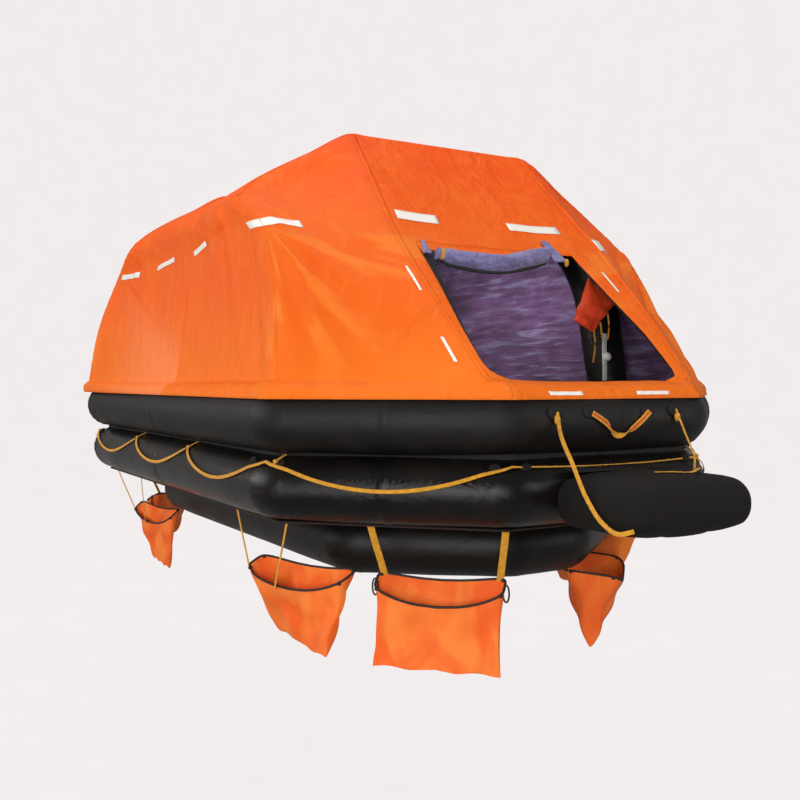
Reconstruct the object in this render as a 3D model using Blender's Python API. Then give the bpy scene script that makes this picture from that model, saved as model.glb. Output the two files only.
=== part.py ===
"""Canopied inflatable life raft of the 25-person class, in metres, +Z up.

The origin is the middle of the raft, on the seam between the two outer tubes. +X runs to the front doorway.
"""

import math

import bmesh
import bpy
from mathutils import Vector

# Hull: a long octagon, measured on the outer tubes' centre line.
TUBE_RADIUS = 0.165
HULL_HALF_LENGTH = 2.447
HULL_HALF_WIDTH = 1.30
HULL_CORNER_CUT = 0.77
TUBE_SIDES = 20
TOUCH_GAP = 0.0003

# Upper tube: the same ends, but fuller side corners.
UPPER_HALF_WIDTH = 1.33
UPPER_CUT_X = 0.687
UPPER_CUT_Y = 0.80

# Lower tube: its own, narrower plan, with steeper corner facets.
LOWER_HALF_LENGTH = 1.98
LOWER_HALF_WIDTH = 0.80
LOWER_CUT_X = 0.50
LOWER_CUT_Y = 0.62

FLOOR_THICKNESS = 0.010
FLOOR_LIP = 0.03

# Arch tubes: vertical legs, slanted shoulders and a flat top, the whole arch leaning inboard.
ARCH_RADIUS = 0.13
ARCH_SIDES = 16
ARCH_FOOT_X = 1.28
ARCH_TOP_X = 1.00
ARCH_FOOT_Z = 2 * TUBE_RADIUS + TOUCH_GAP
ARCH_TOP_Z = 1.62
ARCH_OUTLINE = (  # y, z of the bends, from one foot to the middle of the top
    (1.160, ARCH_FOOT_Z),
    (1.160, 0.80),
    (1.125, 1.02),
    (1.020, 1.22),
    (0.560, 1.58),
    (0.440, ARCH_TOP_Z),
)

# Canopy: corner lines, level by level. An "end" corner is beside a doorway, a "side" corner on a long side.
CANOPY_THICKNESS = 0.006
CANOPY_LEVELS = (  # end_x, end_y, end_z, side_x, side_y, side_z
    (2.587, 0.589, 0.263, 1.828, 1.472, 0.263),
    (2.555, 0.575, 0.316, 1.812, 1.438, 0.316),
    (2.480, 0.560, 0.352, 1.772, 1.365, 0.352),
    (2.100, 0.640, 0.740, 1.640, 1.320, 0.740),
    (1.712, 0.670, 1.118, 1.450, 1.300, 1.118),
    (1.400, 0.650, 1.430, 1.060, 1.290, 1.348),
    (1.060, 0.610, 1.770, 1.060, 0.610, 1.770),
)
SHOULDER_LEVEL = 5
SEAM_GAP = 0.001
PANEL_TIP = 0.012

# The gear bag hangs inside the front doorway, beside the arch's leg.
GEAR_BAG_X = 1.72
GEAR_BAG_Y = 0.64

# Doorway: a rounded opening in each end panel, drawn as half widths at heights above the seam.
DOOR_OUTLINE = (  # half width, z
    (0.42, 0.372),
    (0.52, 0.392),
    (0.575, 0.45),
    (0.590, 0.60),
    (0.580, 0.80),
    (0.560, 1.02),
)
DOOR_ROLL_RADIUS = 0.055
DOOR_ROLL_SAG = 0.07
DOOR_ROLL_X = 1.725
DOOR_ROLL_BOW = 0.02
DOOR_ROLL_DROP = 0.03
DOOR_ROLL_SHORTER = 0.02

# Boarding ramps: one inflated tongue at each end, hinged on the middle tube's face.
RAMP_HINGE_X = 2.627
RAMP_HINGE_Z = -0.058
RAMP_REACH = 0.505
RAMP_HALF_WIDTH = 0.375
RAMP_THICKNESS = 0.275

# Water pockets: open wedge bags on two straps each, hung under the hull just outside the lower tube.
POCKET_WIDTH = 0.63
POCKET_RIM_Z = -0.580
POCKET_LOW_RIM_Z = -0.680
POCKET_HEIGHT = 0.43
POCKET_BACK = -0.10
POCKET_FRONT = 0.20
POCKET_BOTTOM = 0.04
POCKET_WALL = 0.004
STRAP_WIDTH = 0.032
STRAP_THICKNESS = 0.006
STRAP_OVERLAP = 0.03
LOW_STRAP_BACK = -0.075
POCKET_PLACES = (  # name, x, y under the hull, heading of the outward side in degrees, whether it hangs lower
    ("side_left_front", 1.48, -1.07, -90, False),
    ("side_left_back", -1.15, -1.07, -90, False),
    ("corner_front", 2.19, -0.735, -45, False),
    ("lower_front", 1.805, 0.52, 45, True),
    ("side_right_front", 1.15, 1.07, 90, False),
    ("side_right_back", -1.48, 1.07, 90, False),
    ("corner_back", -2.19, -0.735, 225, False),
    ("lower_back", -1.805, 0.52, 135, True),
)

# Grab line: flat webbing on the middle tube, sagging between patches just under the seam.
LINE_WIDTH = 0.026
LINE_THICKNESS = 0.005
LINE_PATCH_Z = -0.042
LINE_SIDE_PATCHES = (-0.56, 0.56)
LINE_SAG = 0.115
LINE_END_SAG = 0.012
LINE_STEPS = 12
LINE_CLEARANCE = 0.004

TOWING_PATCH = (0.014, 0.20, 0.13)
TOWING_PATCH_Y = 0.32
CYLINDER_RADIUS = 0.105
CYLINDER_LENGTH = 0.80
CYLINDER_Y = 0.28

MATERIALS = {  # colour, roughness
    "black_rubber": ((0.018, 0.016, 0.015), 0.35),
    "orange_fabric": ((0.85, 0.19, 0.02), 0.55),
    "orange_roof": ((0.78, 0.10, 0.015), 0.55),
    "purple_lining": ((0.07, 0.05, 0.17), 0.6),
    "pocket_fabric": ((0.80, 0.12, 0.03), 0.6),
    "webbing": ((0.80, 0.33, 0.02), 0.7),
    "white_plastic": ((0.8, 0.8, 0.78), 0.35),
    "floor_rubber": ((0.03, 0.028, 0.027), 0.6),
}


def clear_scene():
    for thing in list(bpy.data.objects):
        bpy.data.objects.remove(thing, do_unlink=True)


def material(name):
    found = bpy.data.materials.get(name)
    if found:
        return found
    colour, roughness = MATERIALS[name]
    made = bpy.data.materials.new(name)
    made.use_nodes = True
    shader = made.node_tree.nodes["Principled BSDF"]
    shader.inputs["Base Color"].default_value = (*colour, 1.0)
    shader.inputs["Roughness"].default_value = roughness
    return made


def add_object(name, bm, finish, smooth=40):
    """Welds the mesh, turns its faces out, and links it as a named object."""
    bmesh.ops.remove_doubles(bm, verts=bm.verts, dist=0.00005)
    bmesh.ops.recalc_face_normals(bm, faces=bm.faces)
    mesh = bpy.data.meshes.new(name)
    bm.to_mesh(mesh)
    bm.free()
    if smooth:
        mesh.shade_smooth()
        mesh.set_sharp_from_angle(angle=math.radians(smooth))
    mesh.materials.append(material(finish))
    thing = bpy.data.objects.new(name, mesh)
    bpy.context.scene.collection.objects.link(thing)
    return thing


def loft(rings, closed=False, caps=True):
    """A mesh over rings of equal length; closed joins the last ring to the first."""
    bm = bmesh.new()
    rows = [[bm.verts.new(tuple(point)) for point in ring] for ring in rings]
    count = len(rows[0])
    pairs = list(zip(rows, rows[1:]))
    if closed:
        pairs.append((rows[-1], rows[0]))
    for first, second in pairs:
        for i in range(count):
            j = (i + 1) % count
            bm.faces.new((first[i], first[j], second[j], second[i]))
    if caps and not closed:
        bm.faces.new(rows[0][::-1])
        bm.faces.new(rows[-1])
    return bm


def octagon(half_length, half_width, cut_x, cut_y):
    """Corners of the plan, anticlockwise from the front end's near corner."""
    end, side = half_width - cut_y, half_length - cut_x
    return [
        (half_length, -end),
        (half_length, end),
        (side, half_width),
        (-side, half_width),
        (-half_length, end),
        (-half_length, -end),
        (-side, -half_width),
        (side, -half_width),
    ]


def mitres(plan):
    """For each corner the plan vector that one metre of outward offset moves it by."""
    found = []
    for i, corner in enumerate(plan):
        before = Vector(corner) - Vector(plan[i - 1])
        after = Vector(plan[(i + 1) % len(plan)]) - Vector(corner)
        normals = [Vector((d.y, -d.x)).normalized() for d in (before, after)]
        middle = (normals[0] + normals[1]).normalized()
        found.append(middle / middle.dot(normals[0]))
    return found


def ring_tube(name, plan, radius, height, finish="black_rubber"):
    """A closed tube with mitred corners: a circle carried round the plan."""
    rings = []
    for (x, y), mitre in zip(plan, mitres(plan)):
        ring = []
        for k in range(TUBE_SIDES):
            angle = 2 * math.pi * k / TUBE_SIDES
            out = radius * math.cos(angle)
            ring.append((x + out * mitre.x, y + out * mitre.y, height + radius * math.sin(angle)))
        rings.append(ring)
    return add_object(name, loft(rings, closed=True), finish)


def path_tube(name, points, radius, sides, finish, level_ends=False):
    """A round tube along points, each circle set square to the path's mean direction there, or level at its ends."""
    points = [Vector(p) for p in points]
    rings = []
    for i, point in enumerate(points):
        ahead = points[min(i + 1, len(points) - 1)] - points[max(i - 1, 0)]
        ahead.normalize()
        helper = Vector((1, 0, 0)) if abs(ahead.x) < 0.7 else Vector((0, 0, 1))
        across = ahead.cross(helper).normalized()
        up = across.cross(ahead)
        turn = 1.0
        if 0 < i < len(points) - 1:
            turn = (points[i] - points[i - 1]).normalized().dot(ahead)
        ring = []
        for k in range(sides):
            angle = 2 * math.pi * k / sides
            ring.append(point + (across * math.cos(angle) / turn + up * math.sin(angle)) * radius)
        if level_ends and i in (0, len(points) - 1):
            for place in ring:
                place.z = point.z
        rings.append(ring)
    return add_object(name, loft(rings), finish)


def hull_plan():
    return octagon(HULL_HALF_LENGTH, HULL_HALF_WIDTH, HULL_CORNER_CUT, HULL_CORNER_CUT)


def upper_plan():
    return octagon(HULL_HALF_LENGTH, UPPER_HALF_WIDTH, UPPER_CUT_X, UPPER_CUT_Y)


def lower_plan():
    return octagon(LOWER_HALF_LENGTH, LOWER_HALF_WIDTH, LOWER_CUT_X, LOWER_CUT_Y)


def offset_plan(plan, out):
    return [(x + out * m.x, y + out * m.y) for (x, y), m in zip(plan, mitres(plan))]


def build_hull():
    ring_tube("upper_tube", upper_plan(), TUBE_RADIUS - TOUCH_GAP, TUBE_RADIUS)
    ring_tube("middle_tube", hull_plan(), TUBE_RADIUS - TOUCH_GAP, -TUBE_RADIUS)
    top = -2 * TUBE_RADIUS
    edge = offset_plan(hull_plan(), FLOOR_LIP)
    rings = [[(x, y, z) for x, y in edge] for z in (top - FLOOR_THICKNESS, top)]
    add_object("floor", loft(rings), "floor_rubber", smooth=0)
    ring_tube("lower_tube", lower_plan(), TUBE_RADIUS - TOUCH_GAP, top - FLOOR_THICKNESS - TUBE_RADIUS)


def build_arch(name, way):
    half = []
    for y, z in ARCH_OUTLINE:
        lean = (z - ARCH_FOOT_Z) / (ARCH_TOP_Z - ARCH_FOOT_Z)
        half.append((way * (ARCH_FOOT_X + (ARCH_TOP_X - ARCH_FOOT_X) * lean), y, z))
    points = half + [(x, -y, z) for x, y, z in reversed(half)]
    path_tube(name, points, ARCH_RADIUS, ARCH_SIDES, "black_rubber", level_ends=True)


def canopy_corner(kind, level, x_sign, y_sign, inner):
    """A corner of the canopy, on its outer face or moved inwards by the fabric's thickness."""
    columns = slice(0, 3) if kind == "end" else slice(3, 6)
    x, y, z = CANOPY_LEVELS[level][columns]
    point = Vector((x * x_sign, y * y_sign, z))
    if not inner:
        return point
    if level == len(CANOPY_LEVELS) - 1:
        away = Vector((0.35 * x_sign, 0.2 * y_sign, 1.0)).normalized()
    else:
        low, high = CANOPY_LEVELS[max(level - 1, 0)][columns], CANOPY_LEVELS[level + 1][columns]
        slope = math.atan2(math.hypot(high[0] - low[0], high[1] - low[1]), high[2] - low[2])
        heading = math.radians(22.5 if kind == "end" else 67.5)
        flat = Vector((math.cos(heading) * x_sign, math.sin(heading) * y_sign, 0))
        away = flat * math.cos(slope) + Vector((0, 0, math.sin(slope)))
    return point - away * CANOPY_THICKNESS * 1.1


def shell_strip(name, left, right, finish):
    """A thin closed strip. left and right are rows of (outer, inner) corners, drawn in by the seam's gap."""
    rings = []
    for (lo, li), (ro, ri) in zip(left, right):
        gap = (ro - lo).normalized() * SEAM_GAP if (ro - lo).length > 0.01 else Vector()
        rings.append([lo + gap, ro - gap, ri - gap, li + gap])
    return add_object(name, loft(rings), finish, smooth=0)


def corner_line(kind, x_sign, y_sign, levels):
    return [
        (canopy_corner(kind, k, x_sign, y_sign, False), canopy_corner(kind, k, x_sign, y_sign, True))
        for k in levels
    ]


def drawn_back(line, distance, at_start=False):
    """The line with its end pair moved back along it, to leave a seam or to keep clear of a shared point."""
    ends = line[1::-1] if at_start else line[-2:]
    (near, _), (outer, inner) = ends
    back = (near - outer).normalized() * distance
    moved = (outer + back, inner + back)
    return [moved] + line[1:] if at_start else line[:-1] + [moved]


def door_cutter(way):
    """A prism along X through the doorway's rounded outline."""
    half = [(w, z) for w, z in DOOR_OUTLINE]
    outline = half + [(-w, z) for w, z in reversed(half)]
    rings = [[(way * x, y, z) for y, z in outline] for x in (1.0, 3.0)]
    cutter = add_object("door_cutter_" + ("front" if way > 0 else "back"), loft(rings), "white_plastic", smooth=0)
    cutter.hide_render = True
    cutter.display_type = "WIRE"
    return cutter


def cut(thing, cutter):
    boolean = thing.modifiers.new("doorway", "BOOLEAN")
    boolean.operation = "DIFFERENCE"
    boolean.solver = "EXACT"
    boolean.object = cutter


def build_canopy():
    everything = range(len(CANOPY_LEVELS))
    below = range(SHOULDER_LEVEL + 1)
    for end, way in (("front", 1), ("back", -1)):
        panel = shell_strip(
            "canopy_end_" + end,
            drawn_back(corner_line("end", way, -1, everything), SEAM_GAP),
            drawn_back(corner_line("end", way, 1, everything), SEAM_GAP),
            "orange_fabric",
        )
        cut(panel, door_cutter(way))
        for side, hand in (("left", -1), ("right", 1)):
            shell_strip(
                "canopy_corner_" + end + "_" + side,
                drawn_back(corner_line("end", way, hand, everything), PANEL_TIP),
                drawn_back(corner_line("side", way, hand, everything), PANEL_TIP),
                "orange_fabric",
            )
    for side, hand in (("left", -1), ("right", 1)):
        shell_strip(
            "canopy_side_" + side,
            corner_line("side", 1, hand, below),
            corner_line("side", -1, hand, below),
            "orange_fabric",
        )
    build_roof()


def build_roof():
    """The roof: one strip over both shoulders, between the arches' planes."""
    lines = []
    for x_sign in (1, -1):
        up = corner_line("side", x_sign, -1, (SHOULDER_LEVEL, len(CANOPY_LEVELS) - 1))
        down = corner_line("side", x_sign, 1, (len(CANOPY_LEVELS) - 1, SHOULDER_LEVEL))
        line = drawn_back(up + down, SEAM_GAP, at_start=True)
        lines.append(drawn_back(line, SEAM_GAP))
    shell_strip("canopy_roof", lines[0], lines[1], "orange_roof")


def build_door_roll(end, way):
    """The rolled flap: a sagging tube just inside the doorway's top edge."""
    width = DOOR_OUTLINE[-1][0] - DOOR_ROLL_SHORTER
    z_top = DOOR_OUTLINE[-1][1] - DOOR_ROLL_DROP
    points = []
    for k in range(9):
        s = k / 4 - 1
        x = DOOR_ROLL_X - DOOR_ROLL_BOW * (1 - s * s)
        points.append((way * x, s * width, z_top - DOOR_ROLL_SAG * (1 - s * s)))
    path_tube("door_roll_" + end, points, DOOR_ROLL_RADIUS, 10, "purple_lining")


def build_ramp(end, way):
    """An inflated tongue: rounded sections along its reach, squarer at the hinge and drawn in at the tip."""
    stations = (  # share of the reach, share of the width, share of the thickness
        (0.00, 1.00, 1.00),
        (0.45, 1.00, 1.00),
        (0.75, 0.97, 0.97),
        (0.90, 0.88, 0.84),
        (0.97, 0.76, 0.62),
        (1.00, 0.64, 0.34),
    )
    anchor = bpy.data.objects.new("ramp_hinge_" + end, None)
    anchor.location = (way * RAMP_HINGE_X, 0, RAMP_HINGE_Z)
    bpy.context.scene.collection.objects.link(anchor)
    rings = []
    for reach, wide, thick in stations:
        half_y = RAMP_HALF_WIDTH * wide
        half_z = RAMP_THICKNESS / 2 * thick
        ring = []
        for k in range(20):
            angle = 2 * math.pi * (k + 0.5) / 20
            c, s = math.cos(angle), math.sin(angle)
            side = half_y - min(RAMP_THICKNESS / 2, half_z)
            y = math.copysign(side, c) + half_z * c
            ring.append((way * RAMP_REACH * reach, y, -RAMP_THICKNESS / 2 + half_z * s))
        rings.append(ring)
    ramp = add_object("boarding_ramp_" + end, loft(rings), "black_rubber")
    ramp.parent = anchor


def boxed(corner, size_t, size_n, size_z, along, out):
    """Eight corners of a box from its middle, in the facet's own directions."""
    return [
        corner + along * size_t * a / 2 + out * size_n * b / 2 + Vector((0, 0, size_z * c / 2))
        for c in (-1, 1)
        for a, b in ((-1, -1), (1, -1), (1, 1), (-1, 1))
    ]


def build_pocket(name, x, y, heading, low):
    """An open wedge bag with two straps, in one body: up to the floor's edge, or to the lower tube if it hangs low."""
    out = Vector((math.cos(math.radians(heading)), math.sin(math.radians(heading)), 0))
    along = Vector((-out.y, out.x, 0))
    middle = Vector((x, y, 0))
    rim_z = POCKET_LOW_RIM_Z if low else POCKET_RIM_Z
    bottom_z = rim_z - POCKET_HEIGHT

    def wedge(half, back, front, floor_half, floor_z):
        top = [
            middle + along * a * half + out * n + Vector((0, 0, rim_z))
            for a, n in ((-1, back), (1, back), (1, front), (-1, front))
        ]
        base = [
            middle + along * a * half + out * (POCKET_BOTTOM + n * floor_half) + Vector((0, 0, floor_z))
            for a, n in ((-1, -1), (1, -1), (1, 1), (-1, 1))
        ]
        return base, top

    half = POCKET_WIDTH / 2
    base_out, top_out = wedge(half, POCKET_BACK, POCKET_FRONT, 0.012, bottom_z)
    base_in, top_in = wedge(
        half - POCKET_WALL,
        POCKET_BACK + POCKET_WALL,
        POCKET_FRONT - POCKET_WALL,
        0.006,
        bottom_z + POCKET_WALL * 2,
    )
    bag = add_object(name, loft([base_out, top_out, top_in, base_in]), "pocket_fabric", smooth=0)
    floor_under = -2 * TUBE_RADIUS - FLOOR_THICKNESS
    strap_n = LOW_STRAP_BACK if low else 0.0
    strap_top = floor_under - TOUCH_GAP - (2 * TUBE_RADIUS if low else 0.0)
    for number, side in enumerate((-1, 1)):
        rings = []
        for n, z in ((strap_n, strap_top), (POCKET_BACK, rim_z - STRAP_OVERLAP)):
            centre = middle + along * side * (half - STRAP_WIDTH) + out * n + Vector((0, 0, z))
            rings.append([
                centre + along * STRAP_WIDTH * a / 2 + out * STRAP_THICKNESS * b / 2
                for a, b in ((-1, -1), (1, -1), (1, 1), (-1, 1))
            ])
        strap = add_object(name + "_strap_" + str(number), loft(rings), "webbing", smooth=0)
        strap.hide_render = True
        strap.display_type = "WIRE"
        union = bag.modifiers.new("strap", "BOOLEAN")
        union.operation = "UNION"
        union.solver = "EXACT"
        union.object = strap


def line_place(plan, normals, corner, share, z):
    """A place on the middle tube's face, share of the way along one side of the plan, and the face's direction."""
    following = (corner + 1) % len(plan)
    tilt = math.asin((z + TUBE_RADIUS) / TUBE_RADIUS)
    away = TUBE_RADIUS + LINE_THICKNESS / 2 + LINE_CLEARANCE
    out = away * math.cos(tilt)
    first = Vector(plan[corner]) + normals[corner] * out
    second = Vector(plan[following]) + normals[following] * out
    place = first.lerp(second, share)
    flat = normals[corner] if share == 0.0 else Vector(((second - first).y, (first - second).x)).normalized()
    face = Vector((flat.x * math.cos(tilt), flat.y * math.cos(tilt), math.sin(tilt))).normalized()
    return Vector((place.x, place.y, away * math.sin(tilt) - TUBE_RADIUS)), face


def line_heights():
    """Along the whole line: the plan's side, the share of it, and the height, a parabola between patches."""
    plan = hull_plan()
    for corner in range(len(plan)):
        length = (Vector(plan[(corner + 1) % len(plan)]) - Vector(plan[corner])).length
        on_end, on_side = corner in (0, 4), corner in (2, 6)
        cuts = [0.5 + s / length for s in LINE_SIDE_PATCHES] if on_side else []
        stops = [0.0] + cuts + [1.0]
        sag = LINE_END_SAG if on_end else LINE_SAG
        for first, second in zip(stops, stops[1:]):
            for step in range(LINE_STEPS):
                t = step / LINE_STEPS
                yield corner, first + (second - first) * t, LINE_PATCH_Z - sag * 4 * t * (1 - t)


def build_grab_line():
    """Flat webbing round the middle tube, laid on the tube's face."""
    plan, normals = hull_plan(), mitres(hull_plan())
    half_w, half_t = LINE_WIDTH / 2, LINE_THICKNESS / 2
    rings = []
    for corner, share, z in line_heights():
        place, face = line_place(plan, normals, corner, share, z)
        up = (Vector((0, 0, 1)) - face * face.z).normalized()
        rings.append([
            place + up * half_w * a + face * half_t * b for a, b in ((-1, -1), (1, -1), (1, 1), (-1, 1))
        ])
    add_object("grab_line", loft(rings, closed=True), "webbing", smooth=0)


def build_gear_bag():
    """A small slack bag that hangs in the front doorway, on the right."""
    rings = []
    for z, half_w, half_t, shift in (
        (0.93, 0.030, 0.012, 0.00),
        (0.87, 0.085, 0.030, 0.00),
        (0.76, 0.110, 0.040, 0.00),
        (0.68, 0.080, 0.028, -0.02),
        (0.62, 0.020, 0.010, -0.03),
    ):
        centre = Vector((GEAR_BAG_X, GEAR_BAG_Y + shift, z))
        ring = []
        for k in range(8):
            angle = 2 * math.pi * (k + 0.5) / 8
            ring.append(centre + Vector((half_t * math.cos(angle), half_w * math.sin(angle), 0)))
        rings.append(ring)
    add_object("gear_bag", loft(rings), "pocket_fabric")


def build_lamp():
    """The white lamp: a ball on a flat strip that stands against the front arch's leg."""
    bm = bmesh.new()
    bmesh.ops.create_uvsphere(bm, u_segments=14, v_segments=8, radius=0.028)
    bmesh.ops.translate(bm, verts=bm.verts, vec=(1.425, 1.02, 0.50))
    ball = add_object("arch_lamp", bm, "white_plastic")
    corners = boxed(Vector((1.403, 1.02, 0.50)), 0.036, 0.006, 0.30, Vector((0, 1, 0)), Vector((1, 0, 0)))
    strip = add_object("arch_lamp_strip", loft([corners[:4], corners[4:]]), "white_plastic", smooth=0)
    strip.hide_render = True
    strip.display_type = "WIRE"
    union = ball.modifiers.new("strip", "BOOLEAN")
    union.operation = "UNION"
    union.solver = "EXACT"
    union.object = strip


def build_fittings():
    thick, wide, high = TOWING_PATCH
    face = -(HULL_HALF_LENGTH + TUBE_RADIUS)
    for side, y in (("left", -TOWING_PATCH_Y), ("right", TOWING_PATCH_Y)):
        centre = Vector((face - thick / 2, y, TUBE_RADIUS - 0.03))
        corners = boxed(centre, wide, thick, high, Vector((0, 1, 0)), Vector((1, 0, 0)))
        add_object("towing_patch_" + side, loft([corners[:4], corners[4:]]), "black_rubber", smooth=0)
    under = -2 * TUBE_RADIUS - FLOOR_THICKNESS - CYLINDER_RADIUS - TOUCH_GAP
    ends = (-0.5, -0.46, -0.38, 0.38, 0.46, 0.5)
    shares = (0.35, 0.80, 1.0, 1.0, 0.80, 0.35)
    rings = []
    for x, share in zip(ends, shares):
        rings.append([
            (
                x * CYLINDER_LENGTH,
                CYLINDER_Y + CYLINDER_RADIUS * share * math.cos(2 * math.pi * k / 16),
                under + CYLINDER_RADIUS * share * math.sin(2 * math.pi * k / 16),
            )
            for k in range(16)
        ])
    add_object("gas_cylinder", loft(rings), "white_plastic")


def main():
    clear_scene()
    build_hull()
    for end, way in (("front", 1), ("back", -1)):
        build_arch("arch_" + end, way)
        build_door_roll(end, way)
        build_ramp(end, way)
    build_canopy()
    for name, x, y, heading, low in POCKET_PLACES:
        build_pocket("water_pocket_" + name, x, y, heading, low)
    build_grab_line()
    build_gear_bag()
    build_lamp()
    build_fittings()
    bpy.context.view_layer.update()


main()
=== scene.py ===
"""Looks of a canopied inflatable life raft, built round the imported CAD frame, in metres, +Z up.

The origin is the middle of the raft, on the seam between its two outer tubes. +X runs to the front doorway.
"""

import math

import bmesh
import bpy
import numpy as np
from bpy.props import FloatProperty, FloatVectorProperty, IntProperty, PointerProperty
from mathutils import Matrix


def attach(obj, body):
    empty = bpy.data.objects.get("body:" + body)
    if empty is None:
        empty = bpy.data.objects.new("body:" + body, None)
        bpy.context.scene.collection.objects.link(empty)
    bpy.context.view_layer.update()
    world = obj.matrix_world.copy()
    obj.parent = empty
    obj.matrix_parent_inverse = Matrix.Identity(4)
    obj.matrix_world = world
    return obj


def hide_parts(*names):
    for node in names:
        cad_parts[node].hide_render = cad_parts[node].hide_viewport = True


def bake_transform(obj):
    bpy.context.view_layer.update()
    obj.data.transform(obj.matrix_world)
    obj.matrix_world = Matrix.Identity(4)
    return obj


bl_info = {
    "name": "Canopied life raft",
    "version": (1, 0, 0),
    "blender": (4, 5, 0),
    "location": "3D View > Sidebar > Raft",
    "description": "Builds the fabric, rubber and webbing of an inflatable life raft on its packed frame",
    "category": "Add Mesh",
}

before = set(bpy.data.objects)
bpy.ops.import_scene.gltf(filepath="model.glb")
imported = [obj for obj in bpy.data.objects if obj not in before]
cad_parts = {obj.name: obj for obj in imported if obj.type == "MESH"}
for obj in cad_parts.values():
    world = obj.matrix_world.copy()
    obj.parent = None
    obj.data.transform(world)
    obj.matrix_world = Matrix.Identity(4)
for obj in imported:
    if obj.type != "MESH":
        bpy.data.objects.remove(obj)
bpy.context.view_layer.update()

# Hull, as in the CAD: a long octagon for each tube's centre line, fuller above and narrower below.
TUBE_RADIUS, NOMINAL_RADIUS = 0.1647, 0.165
HULL = {"half_length": 2.447, "half_width": 1.30, "cut_x": 0.77, "cut_y": 0.77}
UPPER = {"half_length": 2.447, "half_width": 1.33, "cut_x": 0.687, "cut_y": 0.80}
LOWER = {"half_length": 1.98, "half_width": 0.80, "cut_x": 0.50, "cut_y": 0.62}
UPPER_Z, MIDDLE_Z, LOWER_Z = 0.165, -0.165, -0.505
HULL_UNDERSIDE = -0.3403
HULL_END = HULL["half_length"]

ARCH_RADIUS = 0.13
ARCH_FOOT = (1.28, 0.3303)
ARCH_TOP = (1.00, 1.62)
ARCH_OUTLINE = (  # y, z
    (1.160, 0.3303), (1.160, 0.60), (1.160, 0.80), (1.125, 1.02), (1.020, 1.22), (0.780, 1.41),
    (0.600, 1.545), (0.500, 1.595), (0.380, 1.615), (0.240, 1.619), (0.100, 1.620),
)

CANOPY_LEVELS = (  # end_x, end_y, end_z, side_x, side_y, side_z
    (2.587, 0.589, 0.263, 1.828, 1.472, 0.263),
    (2.555, 0.575, 0.316, 1.812, 1.438, 0.316),
    (2.465, 0.640, 0.352, 1.772, 1.365, 0.352),
    (2.095, 0.680, 0.740, 1.640, 1.320, 0.740),
    (1.712, 0.690, 1.118, 1.450, 1.300, 1.118),
    (1.400, 0.650, 1.430, 1.060, 1.290, 1.348),
    (1.060, 0.610, 1.770, 1.060, 0.610, 1.770),
)
TOP_LEVEL = 6
SHOULDER = 5
INSIDE = (0, 0, 0.2)  # a point that every panel faces away from
DOOR_SILL, DOOR_TOP = 0.352, 1.055
DOOR_FIRST, DOOR_LAST = 7, 50  # the end panel's grid columns along the doorway's two sides
LEAST_SHARE = 0.31  # of its flat rectangle below which a panel's worked-out area is not taken
CORNER_COLUMNS, SIDE_COLUMNS, ROOF_COLUMNS = 68, 150, 92
ROOF_RISE, ROOF_ACROSS = 36, 50  # the roof's grid rows up each shoulder and between the arch tops
FRONT_SLACK = (  # how far the slack cloth hangs in or out at the front right corner, level by level: x, y, z
    (0.0, 0.0, 0.0),
    (0.01, 0.02, 0.0),
    (0.02, 0.06, 0.0),
    (0.0, -0.08, 0.0),
    (-0.10, -0.02, 0.0),
    (0.0, 0.0, 0.0),
    (0.0, 0.0, 0.0),
)
BACK_SLACK = (  # how far the slack cloth stands out at a back corner, level by level: x, y, z
    (0.04, 0.02, 0.0),
    (0.09, 0.05, 0.0),
    (0.14, 0.08, 0.0),
    (0.14, 0.08, 0.0),
    (0.04, 0.02, 0.0),
    (0.0, 0.0, 0.0),
    (0.0, 0.0, 0.0),
)

POCKET_HEIGHT = 0.428
POCKET_BACK, POCKET_FRONT = -0.10, 0.20
RIM_PLACES = 112  # places round a pocket's rim, counted from one end of its long axis
POCKETS = (  # name, x, y, heading of the outward side, rim z, foot's half width and shift, openness, twist
    ("side_left_front", 1.48, -1.07, -90, -0.580, 0.295, -0.01, 0.36, 0.125),
    ("side_left_back", -1.15, -1.07, -90, -0.580, 0.190, 0.115, 0.20, 0.050),
    ("corner_front", 2.19, -0.735, -45, -0.580, 0.306, 0.0, 0.34, 0.0),
    ("lower_front", 1.805, 0.52, 45, -0.680, 0.200, -0.08, 1.0, 0.0),
    ("side_right_front", 1.15, 1.07, 90, -0.580, 0.26, 0.02, 0.50, 0.08),
    ("side_right_back", -1.48, 1.07, 90, -0.580, 0.28, -0.02, 0.55, 0.08),
    ("corner_back", -2.19, -0.735, 225, -0.580, 0.25, 0.0, 0.40, 0.0),
    ("lower_back", -1.805, 0.52, 135, -0.680, 0.26, 0.0, 0.90, 0.0),
)

ROLL_LINE = (  # the rolled flap's middle line: y, z
    (-0.520, 0.998), (-0.363, 0.973), (-0.178, 0.968), (0.015, 0.995), (0.194, 1.040), (0.235, 1.052),
)
HEAD_LINE = (  # the cloth's lower edge over the roll: y, z
    (-0.610, 0.985), (-0.540, 1.018), (-0.363, 1.012), (-0.178, 1.008), (0.015, 1.035), (0.100, 1.055),
)
GEAR_BAG_X = 1.72
GEAR_BAG = (  # left edge, right edge, z
    (0.600, 0.620, 0.965), (0.537, 0.810, 0.800), (0.511, 0.742, 0.741),
    (0.492, 0.695, 0.6975), (0.620, 0.645, 0.6355),
)
RAMP_HINGE = (2.627, -0.058)
RAMP_REACH, RAMP_HALF_WIDTH, RAMP_THICKNESS = 0.505, 0.375, 0.275
LINE_PATCH_Z = -0.042
LINE_SIDE_PATCHES = (-0.56, 0.56)
LINE_SAG, LINE_END_SAG = 0.115, 0.012
LAMP, LAMP_BACK, LAMP_STRIP = (1.425, 1.02, 0.50), 1.404, (0.352, 0.648)
TOW_Y, TOW_Z, EYE_Z = 0.32, 0.135, 0.122
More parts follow.
